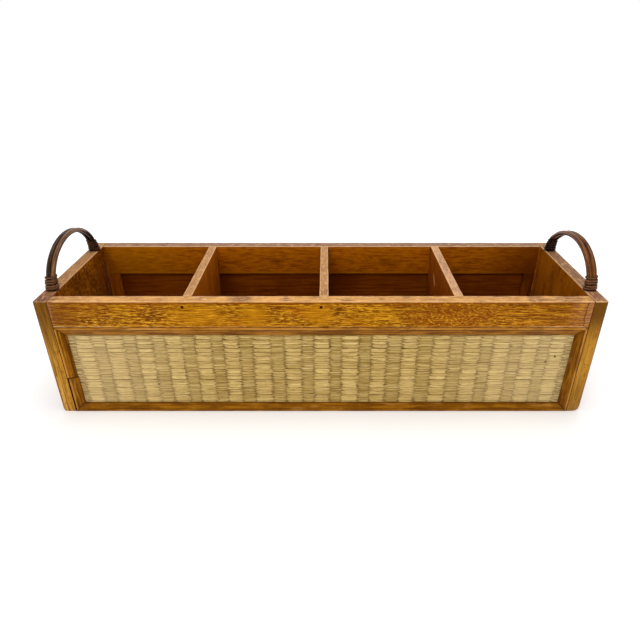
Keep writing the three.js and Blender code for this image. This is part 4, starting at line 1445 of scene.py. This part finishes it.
def nail_stopping(look):
    """The thin plug of stopping over the front rail's right nail, just behind the rail's face."""
    low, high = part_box("front_nail_right_divider")
    middle = (low + high) / 2
    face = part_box("front_top_rail")[0].y
    depth = look.stopping_depth
    deselect()
    bpy.ops.mesh.primitive_cylinder_add(
        vertices=24, radius=(high.x - low.x) / 2 + look.stopping_overlap, depth=depth,
        location=(middle.x, face + 0.02 * MM + depth / 2, middle.z),
        rotation=(math.pi / 2, 0, 0),
    )
    piece = bpy.context.object
    piece.name = "nail_stopping"
    bpy.ops.object.transform_apply(location=True, rotation=True, scale=True)
    with edit_mode(piece):
        bpy.ops.mesh.bevel(offset=depth / 4, segments=2, affect="EDGES")
    smooth(piece)
    return piece


def add_floor(look):
    deselect()
    bpy.ops.mesh.primitive_plane_add(size=look.floor_size)
    floor = bpy.context.object
    floor.name = "pale_floor"
    finish = Finish("pale_floor")
    rays = finish.add("ShaderNodeLightPath").outputs
    seen = finish.most(rays["Is Camera Ray"], rays["Is Glossy Ray"], rays["Is Transmission Ray"])
    away = finish.add("ShaderNodeVectorMath", {"operation": "LENGTH"})
    finish.put(away.inputs[0], finish.place)
    lift = finish.span(
        away.outputs["Value"], look.near_reach, look.far_reach, look.near_lift, look.far_lift
    )
    pale = finish.mix(finish.noise((3, 3, 3), detail=2), *FLOOR_WHITES)
    finish.put(finish.surface.inputs["Emission Color"], WHITE)
    finish.put(finish.surface.inputs["Emission Strength"], finish.product(seen, lift))
    floor.data.materials.append(finish.done(pale, 0.9, 0.0, WHITE))


def add_world(look):
    world = bpy.data.worlds.new("studio")
    bpy.context.scene.world = world
    world.use_nodes = True
    tree = world.node_tree
    background = tree.nodes["Background"]
    background.inputs["Color"].default_value = (*WHITE, 1.0)
    rays = tree.nodes.new("ShaderNodeLightPath").outputs
    seen = rays["Is Camera Ray"]
    for name in ("Is Glossy Ray", "Is Transmission Ray"):
        larger = tree.nodes.new("ShaderNodeMath")
        larger.operation = "MAXIMUM"
        tree.links.new(seen, larger.inputs[0])
        tree.links.new(rays[name], larger.inputs[1])
        seen = larger.outputs["Value"]
    strength = tree.nodes.new("ShaderNodeMath")
    strength.operation = "MULTIPLY_ADD"
    tree.links.new(seen, strength.inputs[0])
    strength.inputs[1].default_value = 1 - look.ambient
    strength.inputs[2].default_value = look.ambient
    tree.links.new(strength.outputs["Value"], background.inputs["Strength"])


def add_lamp(name, place, aim, size, power):
    lamp = bpy.data.objects.new(name, bpy.data.lights.new(name, "AREA"))
    lamp.data.shape = "DISK"
    lamp.data.size = size
    lamp.data.energy = power
    lamp.location = place
    lamp.rotation_euler = (Vector(aim) - Vector(place)).to_track_quat("-Z", "Y").to_euler()
    bpy.context.scene.collection.objects.link(lamp)


class CADDY_OT_stage(Operator):
    """Set the pale floor, the soft lamps and the camera"""

    bl_idname = "caddy.stage"
    bl_label = "Stage"

    def execute(self, context):
        look = context.scene.caddy_stage
        scene = context.scene
        scene.view_settings.view_transform = "Standard"
        add_floor(look)
        add_world(look)
        add_lamp("key_lamp", look.key_place, look.lamp_aim, look.key_size, look.key_power)
        add_lamp("top_lamp", look.top_place, look.lamp_aim, look.top_size, look.top_power)
        camera = bpy.data.objects.new("camera", bpy.data.cameras.new("camera"))
        camera.location = look.camera_place
        camera.rotation_euler = (math.pi / 2 - look.camera_dip, 0, 0)
        camera.data.lens = look.camera_lens
        camera.data.shift_x = look.camera_shift
        camera.data.clip_start = 1 * MM
        scene.collection.objects.link(camera)
        scene.camera = camera
        return {"FINISHED"}


class CADDY_OT_end_boards(Operator):
    """Make the two end boards with their worn rims and rounded corners"""

    bl_idname = "caddy.end_boards"
    bl_label = "End Boards"

    def execute(self, context):
        look = context.scene.caddy_wood
        for seed, side in enumerate(("left", "right"), 1):
            node = f"{side}_end_board"
            piece = finished_board(node, 2, seed, look)
            dress(piece, end_finish(side, seed * 7.3, look), "end_wood", node)
        return {"FINISHED"}


class CADDY_OT_top_rails(Operator):
    """Make the two top rails with their flecked faces and worn tops"""

    bl_idname = "caddy.top_rails"
    bl_label = "Top Rails"

    def execute(self, context):
        look = context.scene.caddy_wood
        for seed, side in enumerate(("front", "rear"), 3):
            node = f"{side}_top_rail"
            piece = finished_board(node, 0, seed, look)
            dress(piece, rail_finish(side, seed * 5.7, look), "rail_wood", node)
        return {"FINISHED"}


class CADDY_OT_wall_frames(Operator):
    """Make the stiles, bottom rails and backing panels behind the mats, and the bottom board"""

    bl_idname = "caddy.wall_frames"
    bl_label = "Wall Frames and Bottom"

    def execute(self, context):
        look = context.scene.caddy_wood
        wood = (look.inner_dark, look.inner_gold)
        upright = plain_finish("stile_varnish", 11.0, *wood, (420, 420, 20))
        # Painted shade makes the right stiles darker.
        shaded = plain_finish(
            "right_stile_varnish", 12.0, look.right_stile_shade, look.panel_brown, (420, 420, 20)
        )
        level = plain_finish("bottom_rail_varnish", 13.0, *wood, (20, 420, 420))
        panel = plain_finish(
            "panel_varnish", 17.0, look.panel_dark, look.panel_brown, (16, 300, 340)
        )
        parts = (
            ("bottom_rail", 0, level, "rail_wood"),
            ("left_stile", 2, upright, "rail_wood"),
            ("right_stile", 2, shaded, "rail_wood"),
            ("backing_panel", 0, panel, "panel_wood"),
        )
        pieces = [(f"{side}_{part}", *rest) for side in ("front", "rear") for part, *rest in parts]
        pieces.append(("bottom_board", 0, panel, "panel_wood"))
        for seed, (node, axis, material, slot) in enumerate(pieces, 20):
            dress(finished_board(node, axis, seed, look, rim=False), material, slot, node)
        return {"FINISHED"}


class CADDY_OT_dividers(Operator):
    """Make the three dividers with their worn tops"""

    bl_idname = "caddy.dividers"
    bl_label = "Dividers"

    def execute(self, context):
        look = context.scene.caddy_wood
        for seed, place in enumerate(("left", "middle", "right"), 40):
            node = f"{place}_divider"
            piece = finished_board(node, 1, seed, look)
            dress(piece, divider_finish(place, seed * 3.1, look), "divider_wood", node)
        return {"FINISHED"}


class CADDY_OT_mouldings(Operator):
    """Make the mitred moulding strips that hold the mats"""

    bl_idname = "caddy.mouldings"
    bl_label = "Mouldings"

    def execute(self, context):
        look = context.scene.caddy_wood
        for seed, node in enumerate(sorted(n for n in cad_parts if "_moulding_" in n), 50):
            piece = moulding_strip(node, seed, look)
            dress(piece, moulding_finish(node, seed * 2.3, look), "moulding_wood", node)
        return {"FINISHED"}


class CADDY_OT_mats(Operator):
    """Weave the two mats from straws"""

    bl_idname = "caddy.mats"
    bl_label = "Woven Mats"

    def execute(self, context):
        look = context.scene.caddy_mat
        for side, outward, seed in (("front", -1, 61), ("rear", 1, 62)):
            node = f"{side}_woven_mat"
            material = mat_finish(f"{side}_straw", seed, look, MAT_DOTS if side == "front" else ())
            dress(woven_mat(node, outward, seed, look), material, "rush_mat", node)
        return {"FINISHED"}


class CADDY_OT_canes(Operator):
    """Bend the four canes of the handles"""

    bl_idname = "caddy.canes"
    bl_label = "Handle Canes"

    def execute(self, context):
        look = context.scene.caddy_handle
        colours = {
            ("left", "outer"): (look.cane_dark, look.cane_olive),
            ("left", "inner"): (look.cane_brown, look.cane_tan),
            ("right", "outer"): (look.cane_red, look.cane_orange),
            ("right", "inner"): (look.cane_red, look.cane_orange),
        }
        for seed, ((side, which), (dark, light)) in enumerate(colours.items(), 1):
            piece = cane(side, which, HandleShape(side), seed * 0.37, look)
            name = f"{side}_{which}_cane_polish"
            material = cane_finish(
                name, seed * 11.0, look, dark, light, darkened=FOOT_DARKENING[side]
            )
            dress(piece, material, f"rattan_{which}", f"{side}_handle_{which}_cane")
        return {"FINISHED"}


class CADDY_OT_bindings(Operator):
    """Wind a strand round each handle foot, over its ring of old glue"""

    bl_idname = "caddy.bindings"
    bl_label = "Handle Bindings"

    def execute(self, context):
        look = context.scene.caddy_handle
        glue = cane_finish("old_glue", 91.0, look, look.glue_dark, look.glue_brown, 0.12)
        front = cane_finish(
            "front_binding_polish", 84.0, look, look.binding_dark, look.binding_brown
        )
        for side, brown in (("left", look.shade_worn), ("right", look.shade_brown)):
            shape = HandleShape(side)
            name = f"{side}_rear_binding_polish"
            rear = cane_finish(name, 87.0, look, look.shade_dark, brown, 0.16, glints=0.35)
            for foot, material in ((-1, front), (1, rear)):
                node = f"{side}_handle_{side_name(foot)}_binding"
                dress(binding(side, foot, shape, look), material, "rattan_binding", node)
                dress(collar(side, foot, shape, look), glue, "rattan_binding")
        return {"FINISHED"}


class CADDY_OT_nails(Operator):
    """Finish the nails, and put stopping over the front one that doesn't show"""

    bl_idname = "caddy.nails"
    bl_label = "Nails"

    def execute(self, context):
        look = context.scene.caddy_wood
        material = nail_finish(look)
        for name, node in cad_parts.items():
            if "_nail_" in name:
                node.data.materials.clear()
                node.data.materials.append(material)
        filled = plain_finish("stopping", 5.0, look.rail_dark, look.rail_gold, (60, 300, 600))
        dress(nail_stopping(look), filled, "rail_wood")
        return {"FINISHED"}


class CADDY_OT_glue_lines(Operator):
    """Fill the joints between the top rails and the end boards with old glue"""

    bl_idname = "caddy.glue_lines"
    bl_label = "Glue Lines"

    def execute(self, context):
        look = context.scene.caddy_wood
        material = plain_finish("glue_line", 77.0, look.inner_dark, look.rim_pink, (300, 300, 90))
        joints = [(side, end) for side in ("front", "rear") for end in ("left", "right")]
        for seed, (side, end) in enumerate(joints, 81):
            dress(glue_line(side, end, seed, look), material, "rail_wood")
        return {"FINISHED"}


class CADDY_OT_glue_beads(Operator):
    """Run a thin bead of glue down each inner corner"""

    bl_idname = "caddy.glue_beads"
    bl_label = "Glue Beads"

    def execute(self, context):
        look = context.scene.caddy_wood
        rail_low, rail_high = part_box("rear_top_rail")
        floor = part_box("bottom_board")[1].z
        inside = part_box("rear_left_stile")[0].y
        material = plain_finish(
            "glue_bead_varnish", 71.0, look.divider_dark, look.inner_gold, (300, 300, 60)
        )
        corners = [
            (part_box("left_end_board")[1].x, 1, floor), (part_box("right_end_board")[0].x, -1, floor)
        ]
        for place in ("left", "middle", "right"):
            low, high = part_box(f"{place}_divider")
            corners += [(low.x, -1, rail_low.z), (high.x, 1, rail_low.z)]
        top = rail_high.z - 2 * MM
        for number, (x, way, foot) in enumerate(corners, 1):
            for side in (-1, 1):
                name, seed = f"{side_name(side)}_glue_bead_{number}", number * 3 + side
                corner, ways = (x, side * inside), (way, -side)
                piece = glue_bead(name, corner, ways, (foot, top), seed, look)
                dress(piece, material, "divider_wood")
        return {"FINISHED"}


class CADDY_PT_panel(Panel):
    """The caddy's steps and settings"""

    bl_idname = "CADDY_PT_panel"
    bl_label = "Divided Caddy"
    bl_space_type = "VIEW_3D"
    bl_region_type = "UI"
    bl_category = "Caddy"

    def draw(self, context):
        for step in STEPS:
            self.layout.operator(step.bl_idname)
        for name in SETTINGS:
            settings = getattr(context.scene, name)
            box = self.layout.box()
            for key in settings.__annotations__:
                box.prop(settings, key)


STEPS = (
    CADDY_OT_stage,
    CADDY_OT_end_boards,
    CADDY_OT_top_rails,
    CADDY_OT_wall_frames,
    CADDY_OT_dividers,
    CADDY_OT_mouldings,
    CADDY_OT_mats,
    CADDY_OT_canes,
    CADDY_OT_bindings,
    CADDY_OT_nails,
    CADDY_OT_glue_lines,
    CADDY_OT_glue_beads,
)
SETTINGS = {
    "caddy_wood": CaddyWoodSettings,
    "caddy_mat": CaddyMatSettings,
    "caddy_handle": CaddyHandleSettings,
    "caddy_stage": CaddyStageSettings,
}


def register():
    for group in SETTINGS.values():
        bpy.utils.register_class(group)
    for step in STEPS:
        bpy.utils.register_class(step)
    bpy.utils.register_class(CADDY_PT_panel)
    for name, group in SETTINGS.items():
        setattr(bpy.types.Scene, name, PointerProperty(type=group))


def unregister():
    for name in SETTINGS:
        delattr(bpy.types.Scene, name)
    bpy.utils.unregister_class(CADDY_PT_panel)
    for step in reversed(STEPS):
        bpy.utils.unregister_class(step)
    for group in reversed(list(SETTINGS.values())):
        bpy.utils.unregister_class(group)


def main():
    register()
    for step in (
        bpy.ops.caddy.stage,
        bpy.ops.caddy.end_boards,
        bpy.ops.caddy.top_rails,
        bpy.ops.caddy.wall_frames,
        bpy.ops.caddy.dividers,
        bpy.ops.caddy.mouldings,
        bpy.ops.caddy.mats,
        bpy.ops.caddy.canes,
        bpy.ops.caddy.bindings,
        bpy.ops.caddy.nails,
        bpy.ops.caddy.glue_lines,
        bpy.ops.caddy.glue_beads,
    ):
        step()


if __name__ == "__main__":
    main()
